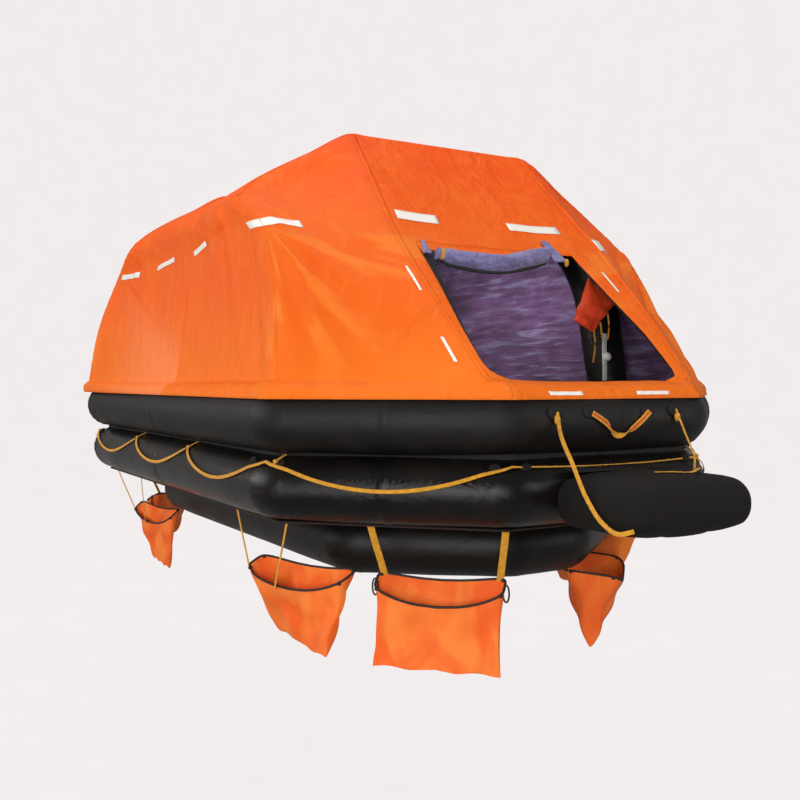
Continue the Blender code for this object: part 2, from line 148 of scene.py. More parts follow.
CYLINDER = (0.0, 0.28, HULL_UNDERSIDE - 0.105)
CYLINDER_RADIUS, CYLINDER_HALF = 0.104, 0.32

ENDS = (("front", 1), ("back", -1))
HANDS = (("left", -1), ("right", 1))


# Plain helpers on arrays


def unit(vectors):
    """Each vector divided by its length."""
    return vectors / np.maximum(np.linalg.norm(vectors, axis=-1, keepdims=True), 1e-12)


def rise(x, low, high):
    """A smooth step from 0 at low to 1 at high: three times the share's square less twice its cube."""
    t = np.clip((np.asarray(x, float) - low) / (high - low), 0.0, 1.0)
    return t * t * (3 - 2 * t)


def hump(x, centre, width):
    """A bell: e to the minus square of the distance from the centre, counted in widths."""
    return np.exp(-(((np.asarray(x, float) - centre) / width) ** 2))


def full_turn(count):
    """Evenly spaced angles once round, the last one short of the first."""
    return np.linspace(0, 2 * math.pi, count, endpoint=False)


def squared(value, power):
    """A sine or cosine raised to a power with its sign kept, which turns a circle into a rounded oblong."""
    return np.sign(value) * np.abs(value) ** power


def ripple(x, y, seed, octaves=4):
    """A smooth irregular field: a sum of slanted sines, each with its own direction, length and phase."""
    random = np.random.default_rng(seed)
    total = np.zeros(np.broadcast(x, y).shape)
    for octave in range(octaves):
        for _ in range(3):
            angle, phase = random.uniform(0, math.pi), random.uniform(0, 2 * math.pi)
            wave = 1.9**octave * random.uniform(0.8, 1.25)
            total += np.sin((x * math.cos(angle) + y * math.sin(angle)) * wave + phase) / (3 * 1.6**octave)
    return total


def smooth_curve(points, places):
    """A curve through points at places 0 to count - 1.

    Its pieces are cubics, and their tangents weigh the two sides of a point by their lengths.
    """
    points = np.asarray(points, float)
    gaps = np.linalg.norm(np.diff(points, axis=0), axis=1)
    slopes = np.diff(points, axis=0) / gaps[:, None]
    inner = (slopes[:-1] * gaps[1:, None] + slopes[1:] * gaps[:-1, None]) / (gaps[:-1] + gaps[1:])[:, None]
    tangents = np.vstack([slopes[:1], inner, slopes[-1:]])
    places = np.asarray(places, float)
    first = np.clip(np.floor(places).astype(int), 0, len(points) - 2)
    t = (places - first)[:, None]
    gap = gaps[first][:, None]
    return (
        (2 * t**3 - 3 * t**2 + 1) * points[first]
        + (t**3 - 2 * t**2 + t) * gap * tangents[first]
        + (3 * t**2 - 2 * t**3) * points[first + 1]
        + (t**3 - t**2) * gap * tangents[first + 1]
    )


def even_curve(points, count):
    """The smooth curve through points, at count places that are evenly spaced along it."""
    dense = smooth_curve(points, np.linspace(0, len(points) - 1, 40 * len(points)))
    along = np.concatenate([[0], np.cumsum(np.linalg.norm(np.diff(dense, axis=0), axis=1))])
    at = np.linspace(0, along[-1], count)
    return np.stack([np.interp(at, along, dense[:, k]) for k in range(3)], axis=1)


def path_frames(path, up=(0, 0, 1), closed=False):
    """Along a path: its direction, the direction square to it and to up, and the one square to both."""
    path = np.asarray(path, float)
    if closed:
        ahead = unit(np.roll(path, -1, axis=0) - np.roll(path, 1, axis=0))
    else:
        ahead = unit(np.gradient(path, axis=0))
    aside = unit(np.cross(ahead, np.asarray(up, float)))
    return ahead, aside, np.cross(aside, ahead)


def between(first, last, count):
    """A grid of lines that lead evenly from one line of points to another."""
    share = np.linspace(0, 1, count)[:, None, None]
    return first[None] * (1 - share) + last[None] * share


def bilinear(grid, u, v):
    """Values of a grid at shares u and v of its two directions, mixed from the four nearest."""
    grid = np.asarray(grid, float)
    a = np.clip(np.asarray(u, float), 0, 1) * (grid.shape[0] - 1)
    b = np.clip(np.asarray(v, float), 0, 1) * (grid.shape[1] - 1)
    i = np.minimum(a.astype(int), grid.shape[0] - 2)
    j = np.minimum(b.astype(int), grid.shape[1] - 2)
    s, t = (a - i)[..., None], (b - j)[..., None]
    low = grid[i, j] * (1 - s) + grid[i + 1, j] * s
    high = grid[i, j + 1] * (1 - s) + grid[i + 1, j + 1] * s
    return low * (1 - t) + high * t


def grid_normals(points):
    """Unit normals of a grid, the cross product of its two directions, turned away from the inside."""
    normals = unit(np.cross(np.gradient(points, axis=0), np.gradient(points, axis=1)))
    outward = (normals * (points - np.array(INSIDE))).sum()
    return normals if outward > 0 else -normals


class Shape:
    """Grids and caps gathered into one mesh, each with its material slot and a UV in metres."""

    def __init__(self):
        self.points, self.faces, self.uvs, self.slots, self.count = [], [], [], [], 0

    def grid(self, points, wrap_u=False, wrap_v=False, slot=0, flip=False, keep=None):
        """A quad for every cell of a (u, v) grid of points. keep masks cells, wrap joins last to first."""
        points = np.asarray(points, float)
        rows, columns = points.shape[:2]
        u_cells, v_cells = rows if wrap_u else rows - 1, columns if wrap_v else columns - 1
        i, j = np.meshgrid(np.arange(u_cells), np.arange(v_cells), indexing="ij")
        if keep is not None:
            i, j = i[keep], j[keep]
        i, j = i.reshape(-1), j.reshape(-1)
        i2, j2 = (i + 1) % rows, (j + 1) % columns
        quads = np.stack([i * columns + j, i2 * columns + j, i2 * columns + j2, i * columns + j2], axis=1)
        long_u = np.linalg.norm(np.diff(points, axis=0), axis=2).mean(axis=1)
        long_v = np.linalg.norm(np.diff(points, axis=1), axis=2).mean(axis=0)
        along_u = np.concatenate([[0], np.cumsum(np.append(long_u, long_u.mean() if rows > 1 else 0))])
        along_v = np.concatenate([[0], np.cumsum(np.append(long_v, long_v.mean() if columns > 1 else 0))])
        uv = np.stack([
            np.stack([along_u[i], along_v[j]], 1),
            np.stack([along_u[i + 1], along_v[j]], 1),
            np.stack([along_u[i + 1], along_v[j + 1]], 1),
            np.stack([along_u[i], along_v[j + 1]], 1),
        ], axis=1)
        if flip:
            quads, uv = quads[:, ::-1], uv[:, ::-1]
        self.faces += (quads + self.count).tolist()
        self.uvs.append(uv.reshape(-1, 2))
        self.slots += [slot] * len(quads)
        self.points.append(points.reshape(-1, 3))
        self.count += rows * columns

    def cap(self, ring, slot=0, flip=False):
        """A fan from the middle of a ring of points to the ring."""
        ring = np.asarray(ring, float)
        count, middle = len(ring), ring.mean(axis=0)
        i = np.arange(count)
        triangles = np.stack([np.full(count, count), i, (i + 1) % count], axis=1)
        if flip:
            triangles = triangles[:, ::-1]
        flat = np.vstack([ring, middle])
        self.faces += (triangles + self.count).tolist()
        self.uvs.append((flat - middle)[triangles.reshape(-1)][:, :2])
        self.slots += [slot] * count
        self.points.append(flat)
        self.count += count + 1

    def skin(self, rings, slot=0, closed=False):
        """A row of rings joined to a tube: capped at both ends, or closed on itself."""
        self.grid(rings, wrap_u=closed, wrap_v=True, slot=slot)
        if not closed:
            self.cap(rings[0], slot=slot)
            self.cap(rings[-1], slot=slot, flip=True)

    def tube(self, path, radius, sides=12, slot=0, up=(0, 0, 1), closed=False):
        """A round tube: a circle of the radius at each place of the path."""
        path = np.asarray(path, float)
        _, aside, over = path_frames(path, up, closed)
        turn = full_turn(sides)
        radius = np.broadcast_to(np.asarray(radius, float), (len(path),))[:, None, None]
        ring = aside[:, None] * np.cos(turn)[None, :, None] + over[:, None] * np.sin(turn)[None, :, None]
        self.skin(path[:, None] + ring * radius, slot, closed)

    def ribbon(self, path, width, thick, face, slot=0, closed=False):
        """A flat tape: a small rounded rectangle carried along the path, its wide side towards face."""
        path = np.asarray(path, float)
        face = unit(np.broadcast_to(np.asarray(face, float), path.shape))
        _, across, out = path_frames(path, face, closed)
        outline = np.array([(-0.5, -0.3), (-0.42, -0.5), (0.42, -0.5), (0.5, -0.3),
                            (0.5, 0.3), (0.42, 0.5), (0, 0.62), (-0.42, 0.5), (-0.5, 0.3)])
        width = np.broadcast_to(np.asarray(width, float), (len(path),))[:, None, None]
        points = (
            path[:, None]
            + across[:, None] * outline[None, :, :1] * width
            + out[:, None] * outline[None, :, 1:] * thick
        )
        self.skin(points, slot, closed)

    def ball(self, centre, radius, slot=0, squash=(1, 1, 1), segments=14):
        """A ball: latitude rings, closed at both poles by fans."""
        lat = np.linspace(-math.pi / 2, math.pi / 2, segments)[1:-1]
        lon = full_turn(2 * segments)
        around = np.stack([
            np.cos(lat)[:, None] * np.cos(lon),
            np.cos(lat)[:, None] * np.sin(lon),
            np.broadcast_to(np.sin(lat)[:, None], (len(lat), len(lon))),
        ], axis=2)
        points = np.asarray(centre, float) + around * radius * np.asarray(squash, float)
        self.grid(points, wrap_v=True, slot=slot, flip=True)
        self.cap(points[0], slot=slot, flip=True)
        self.cap(points[-1], slot=slot)

    def lathe(self, outline, origin, axis, sides=32, slot=0):
        """A turned solid: an outline of distance along the axis and radius, carried round it and capped."""
        axis = unit(np.asarray(axis, float))
        helper = np.array([0, 0, 1.0]) if abs(axis[2]) < 0.8 else np.array([1.0, 0, 0])
        first = unit(np.cross(axis, helper))
        second = np.cross(axis, first)
        turn = full_turn(sides)
        circle = np.cos(turn)[:, None] * first + np.sin(turn)[:, None] * second
        outline = np.asarray(outline, float)
        points = (
            np.asarray(origin, float)
            + outline[:, 0][:, None, None] * axis
            + outline[:, 1][:, None, None] * circle[None]
        )
        self.skin(points, slot)

    def cloth(self, points, keep=None):
        """A panel's grid, or a strip on one, with its faces away from the canopy's inside."""
        points = np.asarray(points, float)
        normals = np.cross(np.gradient(points, axis=0), np.gradient(points, axis=1))
        self.grid(points, keep=keep, flip=(normals * (points - np.array(INSIDE))).sum() <= 0)

    def piece(self, name, finishes, crease=50, weld=True, outward=True):
        """Makes the object. outward turns a closed shape's faces out, after its doubles are merged."""
        mesh = bpy.data.meshes.new(name)
        mesh.from_pydata(np.vstack(self.points).tolist(), [], self.faces)
        layer = mesh.uv_layers.new(name="metres")
        layer.data.foreach_set("uv", np.vstack(self.uvs).astype(np.float32).reshape(-1))
        mesh.polygons.foreach_set("material_index", np.array(self.slots, np.int32))
        for finish in finishes:
            mesh.materials.append(finish)
        made = bpy.data.objects.new(name, mesh)
        bpy.context.scene.collection.objects.link(made)
        if weld:
            bm = bmesh.new()
            bm.from_mesh(mesh)
            bmesh.ops.remove_doubles(bm, verts=bm.verts, dist=1e-6)
            if outward:
                bmesh.ops.recalc_face_normals(bm, faces=bm.faces)
            bm.to_mesh(mesh)
            bm.free()
        mesh.shade_smooth()
        mesh.set_sharp_from_angle(angle=math.radians(crease))
        mesh.update()
        return made


def walled(made, thickness, offset=-1.0, inner_slot=0):
    """Gives a sheet its wall, on the inner side of its faces, with its own material inside."""
    wall = made.modifiers.new("wall", "SOLIDIFY")
    wall.thickness = thickness
    wall.offset = offset
    wall.use_even_offset = False
    wall.material_offset = inner_slot


def finished(made, slot, *nodes, body="raft"):
    """Puts a piece on its body and hides the CAD nodes it stands for. slot is not used."""
    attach(made, body)
    if nodes:
        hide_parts(*nodes)


# Finishes


class Wire:
    """A socket of numbers that takes part in Python arithmetic: each operation adds its Math node."""

    def __init__(self, finish, socket):
        self.finish, self.socket = finish, socket

    def __add__(self, other):
        return self.finish.number("ADD", self, other)

    def __sub__(self, other):
        return self.finish.number("SUBTRACT", self, other)

    def __rsub__(self, other):
        return self.finish.number("SUBTRACT", other, self)

    def __mul__(self, other):
        return self.finish.number("MULTIPLY", self, other)


class Finish:
    """One material: its node tree, its Principled shader and the nodes made for it."""

    def __init__(self, name, roughness=0.5, specular=0.5, sheen=0.0, coat=0.0, metallic=0.0):
        self.material = bpy.data.materials.new(name)
        self.material.use_nodes = True
        self.tree = self.material.node_tree
        self.shader = self.tree.nodes["Principled BSDF"]
        self.shader.inputs["Roughness"].default_value = roughness
        self.shader.inputs["Specular IOR Level"].default_value = specular
        self.shader.inputs["Sheen Weight"].default_value = sheen
        self.shader.inputs["Coat Weight"].default_value = coat
        self.shader.inputs["Coat Roughness"].default_value = 0.25
        self.shader.inputs["Metallic"].default_value = metallic

    def feed(self, socket, value):
        if isinstance(value, Wire):
            self.tree.links.new(value.socket, socket)
        elif isinstance(value, bpy.types.NodeSocket):
            self.tree.links.new(value, socket)
        else:
            socket.default_value = value

    def make(self, kind, sockets=None, **settings):
        """A node of a type, with its settings, then its sockets' values or links."""
        node = self.tree.nodes.new(kind)
        for key, value in settings.items():
            setattr(node, key, value)
        for key, value in (sockets or {}).items():
            self.feed(node.inputs[key], value)
        return node

    def place(self, uv=False, stretch=(1, 1, 1), turn=(0, 0, 0)):
        """Object coordinates, or the piece's UV in metres, stretched and turned."""
        source = self.make("ShaderNodeTexCoord").outputs["UV" if uv else "Object"]
        sockets = {"Vector": source, "Scale": stretch, "Rotation": turn}
        return self.make("ShaderNodeMapping", sockets).outputs[0]

    def axis(self, name):
        source = self.make("ShaderNodeTexCoord").outputs["Object"]
        return Wire(self, self.make("ShaderNodeSeparateXYZ", {0: source}).outputs[name])

    def size(self, name):
        """A coordinate without its sign, so that a pattern repeats at all four corners."""
        return self.number("ABSOLUTE", self.axis(name), 0.0)

    def number(self, operation, first, second):
        """A Math operation on one or two values."""
        return Wire(self, self.make("ShaderNodeMath", {0: first, 1: second}, operation=operation).outputs[0])

    def noise(self, scale, detail=3.0, rough=0.55, where=None, distortion=0.0):
        sockets = {"Scale": scale, "Detail": detail, "Roughness": rough, "Distortion": distortion}
        sockets["Vector"] = where if where is not None else self.place()
        return Wire(self, self.make("ShaderNodeTexNoise", sockets).outputs[0])

    def waves(self, scale, where, direction="X"):
        sockets = {"Scale": scale, "Vector": where}
        return Wire(self, self.make("ShaderNodeTexWave", sockets, bands_direction=direction).outputs[1])

    def spread(self, value, low, high, to_low=0.0, to_high=1.0):
        """The value's range low to high carried smoothly to to_low to to_high, and held at its ends."""
        sockets = {0: value, 1: low, 2: high, 3: to_low, 4: to_high}
        node = self.make("ShaderNodeMapRange", sockets, interpolation_type="SMOOTHSTEP")
        return Wire(self, node.outputs[0])

    def mix(self, factor, first, second):
        """Two colours mixed by a factor."""
        first, second = (c if isinstance(c, bpy.types.NodeSocket) else (*c, 1.0) for c in (first, second))
        return self.make("ShaderNodeMix", {0: factor, 6: first, 7: second}, data_type="RGBA").outputs[2]

    def relief(self, height, distance, strength=1.0, under=None):
        """A Bump node over a height in metres of the given distance, on top of the relief under it."""
        sockets = {"Height": height, "Distance": distance, "Strength": strength}
        if under is not None:
            sockets["Normal"] = under
        return self.make("ShaderNodeBump", sockets).outputs[0]

    def show(self, colour, roughness, normal):
        for key, value in (("Base Color", colour), ("Roughness", roughness), ("Normal", normal)):
            self.feed(self.shader.inputs[key], value)
        return self.material


def shade(colour, factor):
    """A colour as three numbers, each times a factor."""
    return tuple(float(c) * factor for c in colour)


def coated_rubber(settings, gloss=0.0):
    """Rubber on cloth: brown-black, faintly woven, with clouds, dust and scuffs. gloss adds roughness."""
    made = Finish("coated_rubber", specular=settings.shine)
    clouds = made.noise(3.2, 4.0, 0.6)
    grain = made.noise(420.0, 2.0, 0.6)
    scuffs = made.noise(9.0, 5.0, 0.75, made.place(stretch=(1.0, 1.0, 5.0)), 0.8)
    dark, light = shade(settings.colour, 0.75), shade(settings.colour, 1.35)
    colour = made.mix(made.spread(clouds, 0.35, 0.68), dark, light)
    worn = made.spread(scuffs, 0.58, 0.74)
    colour = made.mix(worn * 0.35, colour, settings.dust)
    weave = made.waves(260.0, made.place(turn=(0.3, 0.2, 0.785)), "X") * made.waves(260.0, made.place(), "Z")
    creases = made.noise(7.0, 3.0, 0.5, made.place(stretch=(1, 1, 1.6)), 1.2)
    normal = made.relief(creases, 0.012, 0.25)
    normal = made.relief(weave + grain * 0.5, 0.0008, 0.2, normal)
    rough = made.spread(clouds + worn * 0.4, 0.3, 1.0, settings.gloss + gloss, settings.gloss + gloss + 0.25)
    return made.show(colour, rough, normal)


def matt_rubber(settings):
    """Cloth-backed rubber for patches, floor and seam tapes: matt, with a plain weave and rubbed marks."""
    made = Finish("matt_rubber", specular=0.35)
    clouds = made.noise(11.0, 5.0, 0.65)
    weave = made.waves(190.0, made.place(), "X") + made.waves(190.0, made.place(), "Y")
    weave = weave + made.waves(190.0, made.place(), "Z")
    colour = made.mix(made.spread(clouds, 0.3, 0.75), shade(settings.colour, 0.8), shade(settings.dust, 0.4))
    return made.show(colour, made.spread(clouds, 0.3, 0.8, 0.60, 0.85), made.relief(weave, 0.0007, 0.5))


def canopy_cloth(settings):
    """Proofed orange cloth: redder towards the roof, yellower at the hem, mottled, finely creased. The redder
    top is partly painted shade, and slack cloth, ridges and folds get painted sheen and highlights.
    """
    made = Finish("canopy_cloth", specular=0.12)
    height = made.axis("Z")
    low = made.spread(height, 0.25, 0.95)
    # Redder above the shoulder tape: painted shade on the shoulders and roof, which face up. On the roof it
    # is partly the roof cloth's own redder tone.
    high = made.spread(height, 1.05, 1.75)
    colour = made.mix(low, settings.hem_colour, settings.wall_colour)
    colour = made.mix(high, colour, settings.roof_colour)
    clouds = made.noise(2.1, 4.0, 0.6)
    colour = made.mix(made.spread(clouds, 0.42, 0.75) * 0.25, colour, settings.faded_and_highlight_colour)
    along = made.axis("X")
    # Painted sheen: a paler, whiter tone low on the left side wall, from the middle to the back, where the
    # slack cloth stands out towards the light.
    slack = made.spread(along, 0.25, 0.20) * made.spread(along, -1.6, 0.1)
    slack = slack * made.spread(made.axis("Y"), 0.2, -0.2)
    slack = slack * made.spread(height + along * 0.317, 0.78, 0.40)
    colour = made.mix(slack * 0.8, colour, settings.slack_sheen_colour)
    soil = made.noise(16.0, 6.0, 0.7)
    grime = made.spread(soil, 0.60, 0.80) * made.spread(height, 0.55, 0.26)
    colour = made.mix(grime * 0.45, colour, shade(settings.roof_colour, 0.45))
    # The fan under the shoulder tape: noise over the angle round the tape and, slowly, over the distance. Its
    # rays are bumps, with a painted highlight in the paler colour on their ridges and painted shade in the
    # wall colour in their hollows.
    down = 1.14 - height
    aside = (made.size("X") - 1.45) * 0.56 + (1.30 - made.size("Y")) * 0.83
    angle = made.number("ARCTAN2", aside, down)
    far = down + aside * 0.5
    rays = made.make("ShaderNodeCombineXYZ", {0: angle * 4.6, 1: far * 1.5, 2: far * 0.2})
    fan = made.noise(1.0, 2.0, 0.45, rays.outputs[0], 0.5)
    spot = made.spread(aside, -0.02, 0.08) * made.spread(down, 0.0, 0.08) * made.spread(far, 1.15, 0.70)
    colour = made.mix(made.spread(fan, 0.50, 0.58) * spot * 0.60, colour, settings.faded_and_highlight_colour)
    colour = made.mix(made.spread(fan, 0.46, 0.40) * spot * 0.30, colour, settings.wall_colour)
    fibres = made.noise(650.0, 2.0, 0.6)
    threads = made.waves(330.0, made.place(), "X") + made.waves(330.0, made.place(), "Z")
    crumple = made.noise(7.5, 4.0, 0.55, made.place(stretch=(1.0, 1.0, 0.55)), 1.4)
    ridges = made.noise(3.2, 2.0, 0.5, made.place(stretch=(1.6, 1.6, 0.5), turn=(0.2, 0.3, 0.0)), 1.8)
    fine = made.noise(30.0, 3.0, 0.5, made.place(stretch=(1.0, 1.0, 0.7)), 0.8)
    # Painted highlight: the raised ridges are mixed towards the paler colour.
    colour = made.mix(made.spread(ridges, 0.52, 0.66) * 0.18, colour, settings.faded_and_highlight_colour)
    normal = made.relief(ridges, 0.035, settings.crease)
    normal = made.relief(fan * spot, 0.060, settings.crease, normal)
    normal = made.relief(crumple, 0.028, settings.crease, normal)
    normal = made.relief(fine, 0.005, 0.35, normal)
    normal = made.relief(threads + fibres, 0.0005, 0.35, normal)
    return made.show(colour, made.spread(fibres * 0.3 + clouds * 0.7, 0.3, 0.7, 0.50, 0.66), normal)


def lining_cloth(settings):
    """Thin violet cloth: fine level wrinkles and long slanted folds, with painted highlight on their crests
    and painted shade in the hollows.
    """
    made = Finish("lining_cloth", specular=0.25, sheen=0.15)
    level = made.noise(8.0, 4.0, 0.6, made.place(stretch=(0.32, 0.32, 3.0), turn=(0.10, 0.08, 0.0)), 0.55)
    slanted = made.noise(2.2, 3.0, 0.5, made.place(stretch=(1.0, 1.0, 1.6), turn=(0.5, 0.35, 0.0)), 1.0)
    # Painted light and shade: the slanted folds are lighter on their crests and darker in their hollows. The
    # level wrinkles get a painted sheen on top and painted shade below. The same noises make the bumps.
    dark, light = shade(settings.lining, 0.75), shade(settings.lining, 1.20)
    colour = made.mix(made.spread(slanted, 0.32, 0.68), dark, light)
    colour = made.mix(made.spread(level, 0.50, 0.66) * 0.65, colour, settings.glint)
    colour = made.mix(made.spread(level, 0.47, 0.36) * 0.60, colour, shade(settings.lining, 0.45))
    threads = made.noise(700.0, 1.0)
    normal = made.relief(slanted, 0.05, 0.4)
    normal = made.relief(level, 0.030, 0.7, normal)
    normal = made.relief(threads, 0.0004, 0.3, normal)
    return made.show(colour, made.spread(level, 0.3, 0.7, 0.5, 0.7), normal)


def roll_cloth(settings):
    """The rolled door flap: pale violet cloth with tight slanted wrinkles, painted lighter on their crests
    and darker in their hollows.
    """
    made = Finish("roll_cloth", specular=0.3, sheen=0.2)
    tight = made.noise(26.0, 4.0, 0.6, made.place(stretch=(1.0, 0.8, 2.2), turn=(0.6, 0.0, 0.0)), 0.8)
    # Painted highlight and shade on the wrinkles, from the same noise as their bumps.
    colour = made.mix(made.spread(tight, 0.3, 0.7), shade(settings.roll, 0.62), shade(settings.roll, 1.25))
    normal = made.relief(tight, 0.008, 0.8)
    normal = made.relief(made.noise(700.0, 1.0), 0.0004, 0.3, normal)
    return made.show(colour, made.spread(tight, 0.3, 0.7, 0.5, 0.68), normal)


def pocket_cloth(settings):
    """Limp proofed cloth of the water pockets: crumpled, with painted shade in its folds and a painted
    highlight on its ridges.
    """
    made = Finish("pocket_cloth", specular=0.15)
    crumple = made.noise(5.0, 3.0, 0.5, made.place(stretch=(1.0, 1.0, 0.6)), 0.8)
    clouds = made.noise(2.5, 3.0, 0.5)
    # Painted shade in the folds and painted highlight on the ridges, from the same crumple as the bumps.
    colour = made.mix(made.spread(crumple, 0.34, 0.66), settings.pocket_fold_shade, settings.pocket_ridge_highlight)
    colour = made.mix(made.spread(clouds, 0.5, 0.8) * 0.3, colour, shade(settings.pocket_fold_shade, 0.8))
    normal = made.relief(crumple, 0.030, 0.35)
    normal = made.relief(made.noise(600.0, 2.0) + made.waves(300.0, made.place(), "Z"), 0.0005, 0.35, normal)
    return made.show(colour, made.spread(clouds, 0.3, 0.7, 0.48, 0.65), normal)


def webbing_finish(name, colour, edge):
    """Woven tape: ribs across, a twill slant, darker edges and frayed specks, all along the piece's UV."""
    made = Finish(name, specular=0.25, sheen=0.1)
    across = made.place(uv=True)
    ribs = made.waves(420.0, across, "X")
    twill = made.waves(300.0, made.place(uv=True, turn=(0, 0, 0.785)), "X")
    specks = made.noise(60.0, 4.0, 0.7)
    tone = made.mix(made.spread(specks, 0.35, 0.7), shade(colour, 0.75), shade(colour, 1.15))
    tone = made.mix(ribs * 0.35, tone, edge)
    normal = made.relief(ribs + twill * 0.5, 0.0012, 0.6)
    return made.show(tone, made.spread(specks, 0.3, 0.7, 0.62, 0.8), normal)


def tape_finish(settings):
    """Reflective tape: white, satin, with a fine honeycomb of cells and slightly soiled patches."""
    made = Finish("reflective_tape", specular=0.6, coat=0.3)
    cells = made.make("ShaderNodeTexVoronoi", {"Scale": 230.0, "Vector": made.place()}).outputs[0]
    soil = made.noise(14.0, 4.0, 0.6)
    colour = made.mix(made.spread(soil, 0.5, 0.78) * 0.4, settings.tape, shade(settings.tape, 0.78))
    return made.show(colour, made.spread(soil, 0.3, 0.7, 0.28, 0.42), made.relief(cells, 0.0004, 0.4))


def plain_finish(name, colour, roughness=0.4, metallic=0.0, coat=0.0, grain=90.0, depth=0.0005):
    """Moulded plastic, cord or metal: a mottled colour, a grain in the surface and uneven gloss."""
    made = Finish(name, specular=0.5, coat=coat, metallic=metallic)
    mottle = made.noise(grain, 4.0, 0.6)
    tone = made.mix(made.spread(mottle, 0.35, 0.7), shade(colour, 0.82), shade(colour, 1.12))
    rough = made.spread(mottle, 0.3, 0.7, roughness * 0.85, min(roughness * 1.25, 1.0))
    return made.show(tone, rough, made.relief(made.noise(grain * 4, 3.0), depth, 0.5))


def backdrop_finish(settings):
    """Pale paper under even light: a matt white with a very faint grain."""
    made = Finish("backdrop_paper", roughness=0.9, specular=0.1)
    grain = made.noise(2.0, 2.0)
    colour = made.mix(made.spread(grain, 0.3, 0.7), settings.paper, shade(settings.paper, 0.985))
    made.feed(made.shader.inputs["Emission Color"], colour)
    made.shader.inputs["Emission Strength"].default_value = settings.paper_glow
    made.shader.inputs["Base Color"].default_value = (*shade(settings.paper, settings.paper_matt), 1.0)
    return made.material


# Settings that a user would change


def colour_setting(name, description, default):
    return FloatVectorProperty(
        name=name, description=description, subtype="COLOR", size=3, default=default, min=0, max=1
    )


def length_setting(name, description, default):
    return FloatProperty(name=name, description=description, default=default, unit="LENGTH")


class RaftHullSettings(bpy.types.PropertyGroup):
    """Rubber, seams and fittings of the inflated hull."""

    colour: colour_setting("Rubber", "Colour of the coated rubber", (0.0062, 0.0052, 0.0045))
    dust: colour_setting("Dust", "Colour of scuffs and dust on the rubber", (0.024, 0.021, 0.018))
    gloss: FloatProperty(name="Gloss", description="Roughness where the rubber shines most", default=0.34)
    shine: FloatProperty(name="Shine", description="Specular level of the rubber", default=0.22)
    corner_round: length_setting("Corner rounding", "Radius of the centre line at each corner", 0.09)
    bulge: length_setting("Panel bulge", "How far a panel swells between its seams", 0.004)
    sides: IntProperty(name="Sides", description="Faces round a tube", default=44, min=12)
    webbing: colour_setting("Webbing", "Colour of lines and straps", (0.90, 0.44, 0.030))


class RaftCanopySettings(bpy.types.PropertyGroup):
    """Cloth of the canopy, its lining, tapes and door."""

    roof_colour: colour_setting("Roof", "Cloth colour at the top", (0.83, 0.085, 0.004))
    wall_colour: colour_setting("Wall", "Cloth colour half way up", (0.84, 0.120, 0.007))
    hem_colour: colour_setting("Hem", "Cloth colour at the hem", (0.84, 0.165, 0.010))
    # Used both for faded clouds and as a painted highlight on the cloth's ridges and fans of folds.
    faded_and_highlight_colour: colour_setting("Faded", "Cloth colour of faded clouds", (0.90, 0.225, 0.026))
    # Painted sheen on the slack cloth, which stands out towards the light.
    slack_sheen_colour: colour_setting(
        "Slack", "Cloth colour where it hangs slack at the back", (0.92, 0.240, 0.075)
    )
    lining: colour_setting("Lining", "Colour of the inner side", (0.155, 0.078, 0.185))
    # Painted highlight: the lining's sheen on its raised wrinkles.
    glint: colour_setting(
        "Lining wrinkles", "Colour of the lining's raised wrinkles", (0.27, 0.25, 0.42)
    )
    roll: colour_setting("Rolled flap", "Colour of the rolled door flap", (0.19, 0.165, 0.36))
    tape: colour_setting("Tape", "Colour of the reflective tapes", (0.90, 0.88, 0.83))
    crease: FloatProperty(name="Creases", description="Strength of the cloth's fine creases", default=0.45)
    wall: length_setting("Cloth", "Thickness of the cloth", 0.0025)
    spacing: length_setting("Grid", "Size of a cell of the cloth", 0.022)


class RaftPocketSettings(bpy.types.PropertyGroup):
    """The water pockets under the hull."""

    # Painted shade in the pockets' folds and painted highlight on their ridges.
    pocket_fold_shade: colour_setting("Folds", "Colour in the folds", (0.88, 0.125, 0.018))
    pocket_ridge_highlight: colour_setting("Ridges", "Colour on the ridges", (0.95, 0.235, 0.040))
    half_width: length_setting("Half width", "Half the pocket's width", 0.312)
    cord: length_setting("Rim cord", "Radius of the rim cord", 0.006)


class RaftStageSettings(bpy.types.PropertyGroup):
    """Camera, light and backdrop."""

    lens: FloatProperty(
        name="Lens", description="Focal length on a 36 mm sensor", default=42.57, unit="CAMERA"
    )
    eye: FloatVectorProperty(
        name="Camera", description="Where the camera stands", size=3, subtype="TRANSLATION",
        default=(5.928, -3.117, 0.340),
    )
    yaw: FloatProperty(
        name="Heading", description="Direction of view in plan", default=math.radians(149.76), unit="ROTATION"
    )
    pitch: FloatProperty(
        name="Tilt", description="Tilt of the view, up positive",
        default=math.radians(-1.075), unit="ROTATION",
    )
    floor: length_setting("Floor", "Height of the floor", -2.0)
    paper: colour_setting("Paper", "Backdrop colour", (0.884, 0.841, 0.841))
    paper_glow: FloatProperty(name="Glow", description="Even light of the backdrop", default=0.998)
    paper_matt: FloatProperty(name="Matt", description="Share of light the backdrop returns", default=0.02)


# Hull


def octagon(half_length, half_width, cut_x, cut_y):
    """Corners of the plan, anticlockwise from the front end's near corner."""
    end, side = half_width - cut_y, half_length - cut_x
    return np.array([
        (half_length, -end), (half_length, end), (side, half_width), (-side, half_width),
        (-half_length, end), (-half_length, -end), (-side, -half_width), (side, -half_width),
    ])


